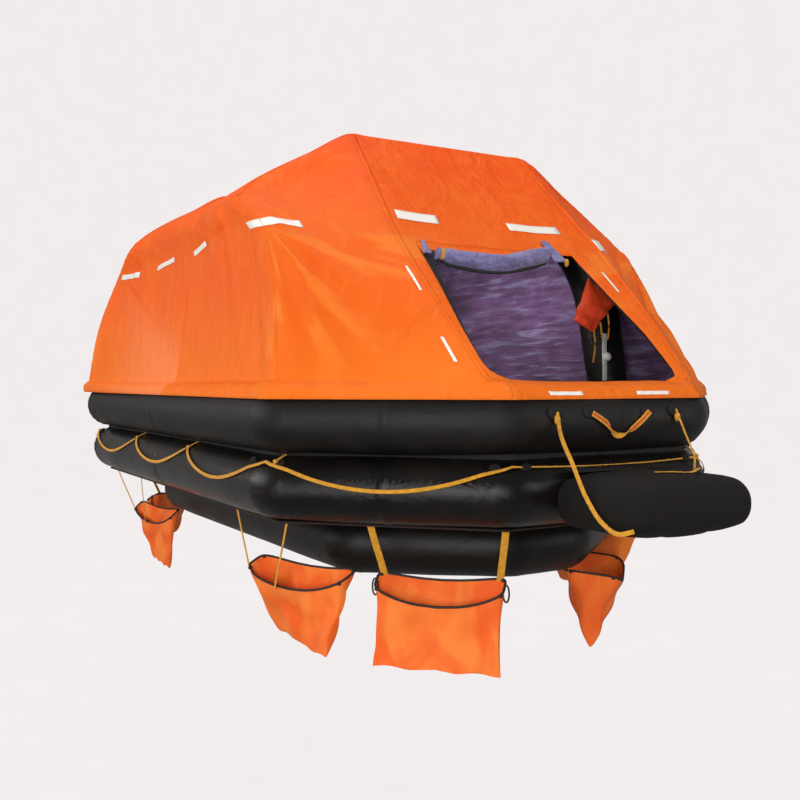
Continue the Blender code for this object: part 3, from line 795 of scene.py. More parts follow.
def rounded_plan(plan, radius, step=0.03, marks=()):
    """Once round the plan: places, outward headings and distances along it.

    Straight runs are sampled evenly, with extra places beside each mark. Each corner is an arc of the radius.
    """
    places, headings = [], []
    count = len(plan)
    for k in range(count):
        here, following, before = plan[k], plan[(k + 1) % count], plan[k - 1]
        ahead, behind = unit(following - here), unit(here - before)
        heading = math.atan2(-ahead[0], ahead[1])
        old = math.atan2(-behind[0], behind[1])
        turn = (heading - old + math.pi) % (2 * math.pi) - math.pi
        cut = radius * math.tan(turn / 2)
        centre = here - behind * cut + radius * np.array((-math.cos(old), -math.sin(old)))
        arc = old + np.linspace(0, 1, 9) * turn
        places.append(centre + radius * np.stack([np.cos(arc), np.sin(arc)], 1))
        headings.append(arc)
        length = np.linalg.norm(following - here)
        run = np.arange(cut + step, length - cut - step / 2, step)
        close = [(length * m + d) for m in marks for d in (-0.024, -0.021, 0.021, 0.024)]
        ends = [cut + d for d in (0.006, 0.014)] + [length - cut - d for d in (0.006, 0.014)]
        run = np.unique(np.round(np.concatenate([run, close, ends]), 4))
        run = run[(run > cut + 0.004) & (run < length - cut - 0.004)]
        places.append(here + run[:, None] * ahead)
        headings.append(np.full(len(run), heading))
    places, headings = np.vstack(places), np.unwrap(np.concatenate(headings))
    along = np.concatenate([[0], np.cumsum(np.linalg.norm(np.diff(places, axis=0), axis=1))])
    return places, headings, along


def hull_tube(settings, plan, height, radius, marks, seed):
    """An inflated tube round the plan.

    The circle's radius swells a little between seams, is pinched at each mitre and stands up by a tape's
    thickness beside the seams. Short wrinkles fan out of the inner side of every corner.
    """
    places, headings, along = rounded_plan(plan, settings.corner_round, marks=marks)
    near = np.linalg.norm(places[:, None] - plan[None], axis=2).min(axis=1)
    phi = full_turn(settings.sides)
    near2, phi2, along2 = near[:, None], phi[None], along[:, None]
    swell = settings.bulge * (rise(near2, 0.05, 0.45) - 1.0)
    pinch = -0.0035 * hump(near2, 0.0, 0.035)
    inner = 0.5 - 0.5 * np.cos(phi2)
    fans = np.sin(phi2 * 23 + 3 * np.sin(along2 * 3.1 + seed)) * np.exp(-near2 / 0.075)
    fans = fans * (0.0022 + 0.0022 * inner)
    band = 0.0016 * rise(near2, 0.052, 0.048)
    for mark in marks:
        for spot in plan + (np.roll(plan, -1, axis=0) - plan) * mark:
            band = band + 0.0016 * rise(np.linalg.norm(places - spot, axis=1)[:, None], 0.0235, 0.0215)
    soft = 0.0012 * ripple(along2 * 3.0, phi2 * 1.5, seed, 3)
    rings = radius + swell + pinch + fans + band + soft
    out = rings * np.cos(phi2)
    normal = np.stack([np.cos(headings), np.sin(headings)], 1)
    points = np.empty((*rings.shape, 3))
    points[..., :2] = places[:, None] + normal[:, None] * out[..., None]
    points[..., 2] = height + rings * np.sin(phi2)
    return points


def valve(shape, centre, outward):
    """An inflation valve: a flat ring and a domed cap."""
    ring = ((0, 0.045), (0.004, 0.044), (0.006, 0.034), (0.007, 0.028))
    dome = ((0.004, 0.026), (0.016, 0.026), (0.021, 0.023), (0.023, 0.016), (0.023, 0.006))
    shape.lathe(ring, centre, outward, 28, slot=1)
    shape.lathe(dome, centre, outward, 24, slot=1)


def plan_side(plan, corner):
    """A side of the plan from its first corner: both corners, its direction and its outward normal."""
    plan = octagon(**plan)
    here, following = plan[corner], plan[(corner + 1) % 8]
    ahead = unit(following - here)
    return here, following, ahead, np.array((ahead[1], -ahead[0]))


def tube_place(corner, share, angle, height, away=0.0, plan=HULL):
    """A place on a hull tube and its outward direction, from a side, the share along it and the angle up."""
    here, following, _, normal = plan_side(plan, corner)
    radius = TUBE_RADIUS + away
    spot = here + (following - here) * share + normal * radius * math.cos(angle)
    point = np.array((*spot, height + radius * math.sin(angle)))
    return point, np.array((*(normal * math.cos(angle)), math.sin(angle)))


def patch_on_tube(shape, corner, share, angle, height, half_long, half_high, slot, away, power, plan=HULL):
    """A thin patch that follows a tube: a rounded oblong whose rim is feathered down to the rubber."""
    turn = full_turn(32)
    rings = np.array((0.0, 0.55, 0.90, 0.985, 1.0))[:, None]
    lift = np.array((1.0, 1.0, 0.95, 0.45, -1.2))[:, None] * away
    c, s = np.cos(turn)[None], np.sin(turn)[None]
    x = squared(c, 2 / power) * rings * half_long
    y = squared(s, 2 / power) * rings * half_high
    here, following, ahead, normal = plan_side(plan, corner)
    radius = TUBE_RADIUS + lift
    tilt = angle + y / TUBE_RADIUS
    middle = here + (following - here) * share
    points = np.empty((*x.shape, 3))
    points[..., :2] = middle + ahead * x[..., None] + normal * (radius * np.cos(tilt))[..., None]
    points[..., 2] = height + radius * np.sin(tilt)
    shape.grid(points, wrap_v=True, slot=slot)


class RAFT_OT_tubes(bpy.types.Operator):
    """Swell the three hull tubes, with their seams, tapes, valves and the strip between them"""

    bl_idname = "raft.tubes"
    bl_label = "Hull tubes"

    def execute(self, context):
        settings = context.scene.raft_hull
        matt = matt_rubber(settings)
        cap = plain_finish("valve_cap", (0.03, 0.03, 0.03), 0.5)
        for name, plan, height, marks, seed, gloss in (
            ("upper_tube", UPPER, UPPER_Z, (0.5,), 1, 0.10),
            ("middle_tube", HULL, MIDDLE_Z, (0.5,), 2, -0.14),
            ("lower_tube", LOWER, LOWER_Z, (), 3, 0.03),
        ):
            rubber = coated_rubber(settings, gloss)
            shape = Shape()
            shape.grid(
                hull_tube(settings, octagon(**plan), height, TUBE_RADIUS, marks, seed),
                wrap_u=True, wrap_v=True, flip=True,
            )
            finished(shape.piece(name + "_skin", [rubber], crease=70), "black_rubber", name)
        self.strips(settings, matt)
        self.fittings(matt, cap)
        return {"FINISHED"}

    def strips(self, settings, matt):
        """Rubber strips glued into the grooves: one between the outer tubes, one over the floor's edge. The
        thin dark red strips at the floor's edge are a painted reflection of the orange water pockets in that
        groove.
        """
        shape = Shape()
        # Painted reflection: dark red for the orange water pockets mirrored in the groove over the floor's
        # edge.
        edge = plain_finish("floor_edge_reflection", (0.030, 0.0045, 0.003), 0.8, grain=60.0)
        for plan, out, height, wide, slot in (
            (HULL, 0.046, 0.0, 0.085, 0),
            (HULL, -0.030, 0.0, 0.085, 0),
            (HULL, 0.028, HULL_UNDERSIDE + 0.004, 0.010, 1),
            (LOWER, 0.010, HULL_UNDERSIDE - 0.004, 0.010, 1),
        ):
            places, headings, _ = rounded_plan(octagon(**plan), settings.corner_round)
            normal = np.stack([np.cos(headings), np.sin(headings), np.zeros(len(headings))], 1)
            path = np.column_stack([places, np.full(len(places), height)]) + normal * out
            shape.ribbon(path, wide * 0.5, 0.004, normal, slot=slot, closed=True)
        finished(shape.piece("seam_strips", [matt, edge], crease=60), "black_rubber")

    def fittings(self, matt, cap):
        """Valves and glued patches on the tubes."""
        shape = Shape()
        for corner, share, angle, height, plan in (
            (2, 0.10, 0.35, UPPER_Z, UPPER), (3, 0.40, 0.35, UPPER_Z, UPPER),
            (2, 0.90, -0.25, MIDDLE_Z, HULL), (3, 0.62, -0.25, MIDDLE_Z, HULL),
        ):
            point, face = tube_place(corner, share, angle, height, plan=plan)
            patch_on_tube(shape, corner, share, angle, height, 0.085, 0.075, 0, 0.0022, 2.4, plan)
            valve(shape, point + face * 0.001, face)
        finished(shape.piece("hull_valves", [matt, cap], crease=35), "black_rubber")


class RAFT_OT_arches(bpy.types.Operator):
    """Sweep the two arch tubes that hold the canopy up"""

    bl_idname = "raft.arches"
    bl_label = "Arch tubes"

    def execute(self, context):
        settings = context.scene.raft_hull
        rubber = coated_rubber(settings)
        for end, way in ENDS:
            half = []
            for y, z in ARCH_OUTLINE:
                lean = (z - ARCH_FOOT[1]) / (ARCH_TOP[1] - ARCH_FOOT[1])
                half.append((way * (ARCH_FOOT[0] + (ARCH_TOP[0] - ARCH_FOOT[0]) * lean), y, z))
            path = even_curve(half + [(x, -y, z) for x, y, z in reversed(half)], 150)
            shape = Shape()
            at = np.arange(150)
            near_foot = np.minimum(at, 149 - at) / 150
            radius = ARCH_RADIUS * (1 - 0.03 * hump(near_foot, 0.0, 0.02))
            shape.tube(path, radius - 0.001, 32, up=(way, 0, 0.001))
            finished(shape.piece("arch_" + end + "_tube", [rubber], crease=60), "black_rubber", "arch_" + end)
        return {"FINISHED"}


# Canopy


def corner_line(kind, x_sign, y_sign, levels):
    """The canopy's corner line at levels 0 to 6, a smooth curve through its own corners."""
    columns = slice(0, 3) if kind == "end" else slice(3, 6)
    rows = np.array([row[columns] for row in CANOPY_LEVELS])
    if kind == "side" and x_sign < 0:
        rows = rows + np.array(BACK_SLACK) * (1.0 if y_sign < 0 else 0.4)
    elif kind == "side" and y_sign > 0:
        rows = rows + np.array(FRONT_SLACK)
    low = smooth_curve(rows[:3], np.clip(levels, 0, 2))
    high = smooth_curve(rows[2:], np.clip(levels, 2, 6) - 2)
    line = np.where((levels <= 2)[:, None], low, high)
    return line * np.array((x_sign, y_sign, 1))


def level_steps(top, spacing):
    """Levels from the hem to the top, about one spacing apart on the cloth."""
    rows = np.array([row[3:6] for row in CANOPY_LEVELS])
    steps = [np.array([0.0])]
    for k in range(top):
        count = max(3, int(math.ceil(np.linalg.norm(rows[k + 1] - rows[k]) / spacing)))
        steps.append(k + np.linspace(0, 1, count + 1)[1:])
    return np.concatenate(steps)


def share_at(level, top, spacing):
    """The share of a panel's height, counted in grid rows, at which a level lies."""
    steps = level_steps(top, spacing)
    return np.interp(level, steps, np.linspace(0, 1, len(steps)))


def at_levels(folds, top, spacing):
    """Folds given by levels, with each level turned into its share of the panel's rows."""
    return [
        (u0, share_at(low, top, spacing), u1, share_at(high, top, spacing), width, height)
        for u0, low, u1, high, width, height in folds
    ]


def over_arches(points, hand):
    """Keeps a side panel outside the arch legs.

    Beside a leg it lies at least as far from the middle plane as the leg's axis plus half the leg's chord.
    Half the chord is the square root of the radius squared less the square of the distance along the hull
    from the leg's leaning axis. The radius is a little more than the leg's, for the cloth.
    """
    lean = (points[..., 2] - ARCH_FOOT[1]) / (ARCH_TOP[1] - ARCH_FOOT[1])
    beside = np.abs(points[..., 0]) - (ARCH_FOOT[0] + (ARCH_TOP[0] - ARCH_FOOT[0]) * lean)
    outline = np.array(ARCH_OUTLINE)
    leg = np.interp(points[..., 2], outline[:, 1], outline[:, 0])
    chord = np.sqrt(np.clip((ARCH_RADIUS + 0.013) ** 2 - beside**2, 0.0, None))
    least = np.where(chord > 0.0, leg + chord, 0.0)
    points[..., 1] = hand * np.maximum(hand * points[..., 1], least)
    return points


def edge_distance(points):
    """The distance in metres of every grid point of a panel from its left, right, lower and upper edge."""
    across = np.concatenate([
        np.zeros((1, points.shape[1])), np.cumsum(np.linalg.norm(np.diff(points, axis=0), axis=2), axis=0)
    ])
    up = np.concatenate([
        np.zeros((points.shape[0], 1)), np.cumsum(np.linalg.norm(np.diff(points, axis=1), axis=2), axis=1)
    ], axis=1)
    return across, across[-1:] - across, up, up[:, -1:] - up


def fold_field(points, folds):
    """Soft ridges on a panel, each from one share (u, v) to another.

    A ridge is its height times a bell of the distance to the line between them, fading towards its far end.
    """
    total = np.zeros(points.shape[:2])
    for u0, v0, u1, v1, width, height in folds:
        start, end = bilinear(points, u0, v0), bilinear(points, u1, v1)
        line = end - start
        t = np.clip(((points - start) @ line) / (line @ line), 0, 1)
        bow = 0.06 * np.linalg.norm(line) * np.sin(math.pi * t) * (1 if height > 0 else -1)
        apart = points - start - t[..., None] * line + bow[..., None] * np.array((0, 0, 0.3))
        gap = np.linalg.norm(apart, axis=2)
        wide = width * (0.45 + 0.9 * t)
        total += height * np.exp(-((gap / wide) ** 2)) * (1 - 0.6 * t)
    return total


def worked(points, folds, seed, sag, soft=0.30, reach=0.30):
    """A stretched cloth panel from its bare grid.

    Along the cloth's normal it adds rounded edges beside the corner lines, which rise with the distance from
    the edge times the square of one less its share of the reach. It also adds a sag, the folds, broad
    irregular ripples, and short puckers square to each sewn edge.
    """
    normals = grid_normals(points)
    left, right, low, high = edge_distance(points)
    lift = np.zeros(points.shape[:2])
    for distance in (left, right):
        near = np.clip(distance, 0, reach)
        lift += soft * near * (1 - near / reach) ** 2 * rise(low, 0.0, 0.25)
    width = np.maximum(left + right, 0.05)
    lift -= sag * np.sin(math.pi * left / width) * np.sin(math.pi * np.clip(low / (low + high), 0, 1)) ** 0.8
    edge = np.minimum(np.minimum(left, right), np.minimum(low, high))
    inside = rise(edge, 0.0, 0.10)
    lift += inside * fold_field(points, folds)
    lift += inside * 0.0065 * ripple(left * 4.0, low * 2.6, seed, 4)
    for distance, along in ((left, low), (right, low), (low, left), (high, left)):
        wave = np.sin(along * 2 * math.pi / 0.075 + 2.5 * np.sin(along * 9.0 + seed))
        pucker = 0.0030 * wave * np.exp(-distance / 0.045) * rise(distance, 0.0, 0.02)
        lift += pucker * rise(edge, 0.0, 0.012)
    return points + normals * lift[..., None]


class CanopyPanels:
    """The canopy's finished grids and normals, by panel name, for the pieces that lie on them."""

    grids = {}
    normals = {}

    @classmethod
    def on(cls, name, u, v, away):
        """Places on a panel at shares u and v, lifted off the cloth."""
        return bilinear(cls.grids[name], u, v) + bilinear(cls.normals[name], u, v) * away


def corner_folds():
    """Long folds that fan from just under the shoulder tape down to the hem, and short ones by the door."""
    return [
        (0.010, 4.02, 0.10, 2.15, 0.030, 0.020),
        (0.012, 4.02, 0.20, 2.12, 0.034, -0.026),
        (0.015, 4.05, 0.31, 2.12, 0.040, 0.036),
        (0.020, 4.05, 0.41, 2.14, 0.040, -0.028),
        (0.025, 4.08, 0.52, 2.18, 0.046, 0.032),
        (0.030, 4.12, 0.64, 2.35, 0.044, -0.020),
        (0.040, 4.20, 0.78, 2.80, 0.050, 0.016),
        (0.060, 4.45, 0.84, 3.50, 0.060, -0.012),
        (0.96, 3.00, 0.70, 2.20, 0.030, 0.012),
        (0.96, 3.50, 0.62, 2.60, 0.035, -0.010),
        (0.95, 4.30, 0.60, 4.00, 0.040, 0.009),
        (0.90, 5.40, 0.20, 5.60, 0.050, 0.010),
    ]


def side_folds():
    """Upright bands over the arch legs, swags between them, and the slack cloth's crease and crumples."""
    return [
        (0.125, 4.90, 0.115, 2.15, 0.060, 0.018),
        (0.875, 4.90, 0.885, 2.15, 0.060, 0.018),
        (0.060, 4.00, 0.065, 2.15, 0.040, -0.012),
        (0.205, 4.30, 0.190, 2.15, 0.045, -0.012),
        (0.15, 4.60, 0.36, 2.15, 0.050, 0.012),
        (0.85, 4.60, 0.62, 2.30, 0.050, 0.010),
        (0.16, 4.30, 0.60, 3.50, 0.060, -0.010),
        (0.425, 3.30, 0.430, 2.05, 0.022, -0.014),
        (0.400, 3.40, 0.400, 2.05, 0.035, 0.012),
        (0.885, 3.85, 0.62, 3.05, 0.018, -0.016),
        (0.880, 3.95, 0.60, 3.20, 0.030, 0.012),
        (0.80, 3.10, 0.72, 2.10, 0.026, 0.012),
        (0.74, 2.90, 0.82, 2.10, 0.022, -0.012),
        (0.66, 2.90, 0.60, 2.08, 0.024, 0.010),
        (0.90, 2.90, 0.93, 2.10, 0.024, 0.012),
        (0.58, 2.60, 0.52, 2.08, 0.020, -0.008),
        (0.47, 4.80, 0.50, 3.60, 0.040, 0.008),
    ]


def cloth_panel(name, points, finishes, settings, keep=None):
    """The panel as a piece: orange outside, violet inside. Its area, held between a least share of its flat
    size and that size, is worked out but not used.
    """
    CanopyPanels.grids[name] = points
    CanopyPanels.normals[name] = grid_normals(points)
    shape = Shape()
    shape.cloth(points, keep)
    made = shape.piece(name + "_cloth", finishes, crease=80, weld=False)
    walled(made, settings.wall, inner_slot=1)
    finished(made, "orange_roof" if name == "canopy_roof" else "orange_fabric", name)
    area = cloth_area(made)
    left, _, low, _ = edge_distance(points)
    wide, tall = float(left[-1].max()), float(low[:, -1].max())
    area = max(min(area, wide * tall), LEAST_SHARE * wide * tall)


def cloth_area(made):
    """The area of a sheet's own faces, before it gets its wall."""
    areas = np.empty(len(made.data.polygons), np.float32)
    made.data.polygons.foreach_get("area", areas)
    return float(areas.sum())


def door_plane(height):
    """The end panel's distance from the middle at a height, along the straight slope beside the doorway."""
    low, high = CANOPY_LEVELS[3], CANOPY_LEVELS[4]
    return high[0] + (high[2] - height) * (low[0] - high[0]) / (high[2] - low[2])


def door_sides(height):
    """The doorway's left and right edge, as y at a height, on the front end as the camera sees it."""
    knots = np.array((0.20, 0.352, 0.370, 0.40, 0.45, 0.60, 0.80, 1.00, 1.10, 1.80))
    left = np.array((-0.46, -0.518, -0.576, -0.618, -0.627, -0.630, -0.616, -0.605, -0.585, -0.45))
    right = np.array((0.40, 0.460, 0.545, 0.562, 0.560, 0.546, 0.489, 0.439, 0.425, 0.38))
    return np.interp(height, knots, left), np.interp(height, knots, right)


class RAFT_OT_canopy(bpy.types.Operator):
    """Stretch the canopy's nine cloth panels over the arches, with soft folds, sags and puckered seams"""

    bl_idname = "raft.canopy"
    bl_label = "Canopy cloth"

    def execute(self, context):
        settings = context.scene.raft_canopy
        finishes = [canopy_cloth(settings), lining_cloth(settings)]
        levels = level_steps(TOP_LEVEL, settings.spacing)
        below = level_steps(SHOULDER, settings.spacing)
        seed = 10
        for end, way in ENDS:
            self.end_panel("canopy_end_" + end, way, levels, finishes, settings)
            for side, hand in HANDS:
                first = corner_line("side", way, hand, levels)
                last = corner_line("end", way, hand, levels)
                folds = at_levels(corner_folds(), TOP_LEVEL, settings.spacing)
                points = worked(between(first, last, CORNER_COLUMNS), folds, seed, 0.012)
                cloth_panel("canopy_corner_" + end + "_" + side, points, finishes, settings)
                seed += 1
        for side, hand in HANDS:
            first = corner_line("side", 1, hand, below)
            last = corner_line("side", -1, hand, below)
            folds = at_levels(side_folds(), SHOULDER, settings.spacing)
            points = over_arches(worked(between(first, last, SIDE_COLUMNS), folds, seed, 0.030), hand)
            cloth_panel("canopy_side_" + side, points, finishes, settings)
            seed += 1
        self.roof(finishes, settings)
        return {"FINISHED"}

    def end_panel(self, name, way, levels, finishes, settings):
        """The sloping end with its doorway.

        Columns run from the border to the door's edge, over the door, and from its other edge to the far
        border, so that a grid line follows the opening.
        """
        left_line, right_line = corner_line("end", way, -1, levels), corner_line("end", way, 1, levels)
        height = left_line[:, 2]
        door_left, door_right = door_sides(height)
        if way < 0:
            door_left, door_right = -door_right, -door_left
        wide = right_line[:, 1] - left_line[:, 1]
        a = np.clip((door_left - left_line[:, 1]) / wide, 0.02, 0.48)
        b = np.clip((door_right - left_line[:, 1]) / wide, 0.52, 0.98)
        sides = np.linspace(0, 1, DOOR_FIRST + 1)
        middle = np.linspace(0, 1, DOOR_LAST - DOOR_FIRST + 1)[1:]
        share = np.concatenate([
            a[None] * sides[:, None],
            a[None] + (b - a)[None] * middle[:, None],
            b[None] + (1 - b)[None] * sides[1:, None],
        ])[..., None]
        bare = left_line[None] * (1 - share) + right_line[None] * share
        folds = [
            (0.05, 0.62, 0.40, 0.60, 0.035, 0.010),
            (0.95, 0.62, 0.60, 0.60, 0.035, 0.010),
            (0.10, 0.72, 0.50, 0.64, 0.045, -0.012),
            (0.90, 0.72, 0.50, 0.64, 0.045, -0.012),
            (0.20, 0.95, 0.35, 0.66, 0.050, 0.008),
            (0.80, 0.95, 0.66, 0.66, 0.050, 0.008),
            (0.50, 0.98, 0.52, 0.66, 0.050, 0.006),
        ]
        points = worked(bare, folds, 30 + way, 0.010, reach=0.10)
        column = np.arange(len(share) - 1)[:, None]
        cell_height = (height[:-1] + height[1:])[None] / 2
        opening = (column >= DOOR_FIRST) & (column < DOOR_LAST)
        opening = opening & (cell_height > DOOR_SILL) & (cell_height < DOOR_TOP)
        cloth_panel(name, points, finishes, settings, keep=~opening)

    def roof(self, finishes, settings):
        """The roof: up one shoulder, over the arch tops and down the other, slack between the two arches."""
        rising = SHOULDER + np.linspace(0, 1, ROOF_RISE)
        across = np.linspace(-1, 1, ROOF_ACROSS + 2)[1:-1]
        rims = []
        for x_sign in (1, -1):
            up = corner_line("side", x_sign, -1, rising)
            down = corner_line("side", x_sign, 1, rising[::-1])
            top = up[-1:] * 0.5 * (1 - across[:, None]) + down[:1] * 0.5 * (1 + across[:, None])
            rims.append(np.vstack([up, top, down]))
        folds = [
            (0.05, 0.40, 0.45, 0.46, 0.05, 0.010),
            (0.95, 0.42, 0.55, 0.50, 0.05, 0.010),
            (0.04, 0.60, 0.50, 0.55, 0.06, -0.010),
            (0.10, 0.10, 0.50, 0.30, 0.05, 0.008),
            (0.90, 0.12, 0.50, 0.32, 0.05, 0.008),
            (0.10, 0.90, 0.50, 0.70, 0.05, 0.008),
            (0.90, 0.88, 0.50, 0.68, 0.05, 0.008),
        ]
        points = worked(between(*rims, ROOF_COLUMNS), folds, 50, 0.045, soft=0.12)
        for _ in range(12):
            points[1:-1, 1:-1] = 0.5 * points[1:-1, 1:-1] + 0.125 * (
                points[:-2, 1:-1] + points[2:, 1:-1] + points[1:-1, :-2] + points[1:-1, 2:]
            )
        cloth_panel("canopy_roof", points, finishes, settings)


def strip_on(shape, name, u, levels, spacing, tilt=0.0):
    """A thin strip on a panel: a small grid between two shares of its length and two levels, off the cloth.

    tilt raises its start by a part of a level.
    """
    top = SHOULDER if name.startswith("canopy_side") else TOP_LEVEL
    s, t = np.meshgrid(np.linspace(0, 1, 16), np.linspace(0, 1, 6), indexing="ij")
    level = levels[0] + (levels[1] - levels[0]) * t + tilt * (1 - s)
    rows = share_at(level, top, spacing)
    shape.cloth(CanopyPanels.on(name, u[0] + (u[1] - u[0]) * s, rows, 0.0022))


class RAFT_OT_tapes(bpy.types.Operator):
    """Stick the reflective tapes and sew the bindings on the canopy's seams"""

    bl_idname = "raft.tapes"
    bl_label = "Tapes and bindings"

    def execute(self, context):
        settings = context.scene.raft_canopy
        shape = Shape()
        for side in ("left", "right"):
            for start, stop, low, high, tilt in (
                (0.0, 0.055, 4.05, 4.21, -0.02),
                (0.310, 0.395, 3.97, 4.07, 0.12),
                (0.53, 0.65, 3.93, 4.03, 0.08),
                (0.79, 0.945, 3.98, 4.10, -0.06),
            ):
                strip_on(shape, "canopy_side_" + side, (start, stop), (low, high), settings.spacing, tilt)
            if side == "left":
                for end in ("front", "back"):
                    corner = "canopy_corner_" + end + "_left"
                    strip_on(shape, corner, (0.0, 0.31), (4.06, 4.21), settings.spacing, -0.03)
                    strip_on(shape, corner, (0.922, 0.939), (3.10, 3.45), settings.spacing)
                    strip_on(shape, corner, (0.890, 0.907), (2.20, 2.50), settings.spacing)
        for end in ("front", "back"):
            strip_on(shape, "canopy_corner_" + end + "_right", (0.80, 1.0), (3.97, 4.20), settings.spacing)
            for u, levels in (
                ((0.055, 0.275), (4.24, 4.41)),
                ((0.640, 0.902), (4.26, 4.41)),
                ((0.932, 0.940), (3.26, 3.58)),
                ((0.216, 0.375), (0.30, 0.62)),
                ((0.652, 0.825), (0.30, 0.62)),
            ):
                strip_on(shape, "canopy_end_" + end, u, levels, settings.spacing)
        made = shape.piece("reflective_tapes", [tape_finish(settings)], crease=60, weld=False)
        walled(made, 0.0014, offset=1.0)
        finished(made, "orange_fabric")
        self.bindings(settings)
        return {"FINISHED"}

    def bindings(self, settings):
        """Narrow doubled strips over the seams, half on each neighbour."""
        cloth = canopy_cloth(settings)
        shape = Shape()
        levels = np.linspace(0.06, 0.985, 90)
        for end in ("front", "back"):
            for side in ("left", "right"):
                corner, panel = "canopy_corner_" + end + "_" + side, "canopy_end_" + end
                inner = 0.020 if side == "left" else 0.980
                shape.cloth([
                    CanopyPanels.on(panel, inner, levels, 0.0010),
                    CanopyPanels.on(corner, 1.0, levels, 0.0018),
                    CanopyPanels.on(corner, 0.985, levels, 0.0010),
                ])
                self.roof_seam(shape, corner, end, side, settings)
        made = shape.piece("seam_bindings", [cloth], crease=60, weld=False)
        walled(made, 0.0008, offset=1.0)
        finished(made, "orange_fabric")

    def roof_seam(self, shape, corner, end, side, settings):
        """The strip over the seam between roof and corner panel, from the shoulder to the arch's top."""
        rising = np.linspace(0.01, 0.985, 40)
        start = share_at(SHOULDER, TOP_LEVEL, settings.spacing)
        up = start + (1 - start) * rising
        slope = (ROOF_RISE - 1) / (2 * ROOF_RISE + ROOF_ACROSS - 1)
        over = slope * rising if side == "left" else 1 - slope * rising
        edge, inner = (0.0, 0.010) if end == "front" else (1.0, 0.990)
        shape.cloth([
            CanopyPanels.on("canopy_roof", inner, over, 0.0010),
            CanopyPanels.on("canopy_roof", edge, over, 0.0020),
            CanopyPanels.on(corner, 0.0, up, 0.0020),
            CanopyPanels.on(corner, 0.030, up, 0.0010),
        ])


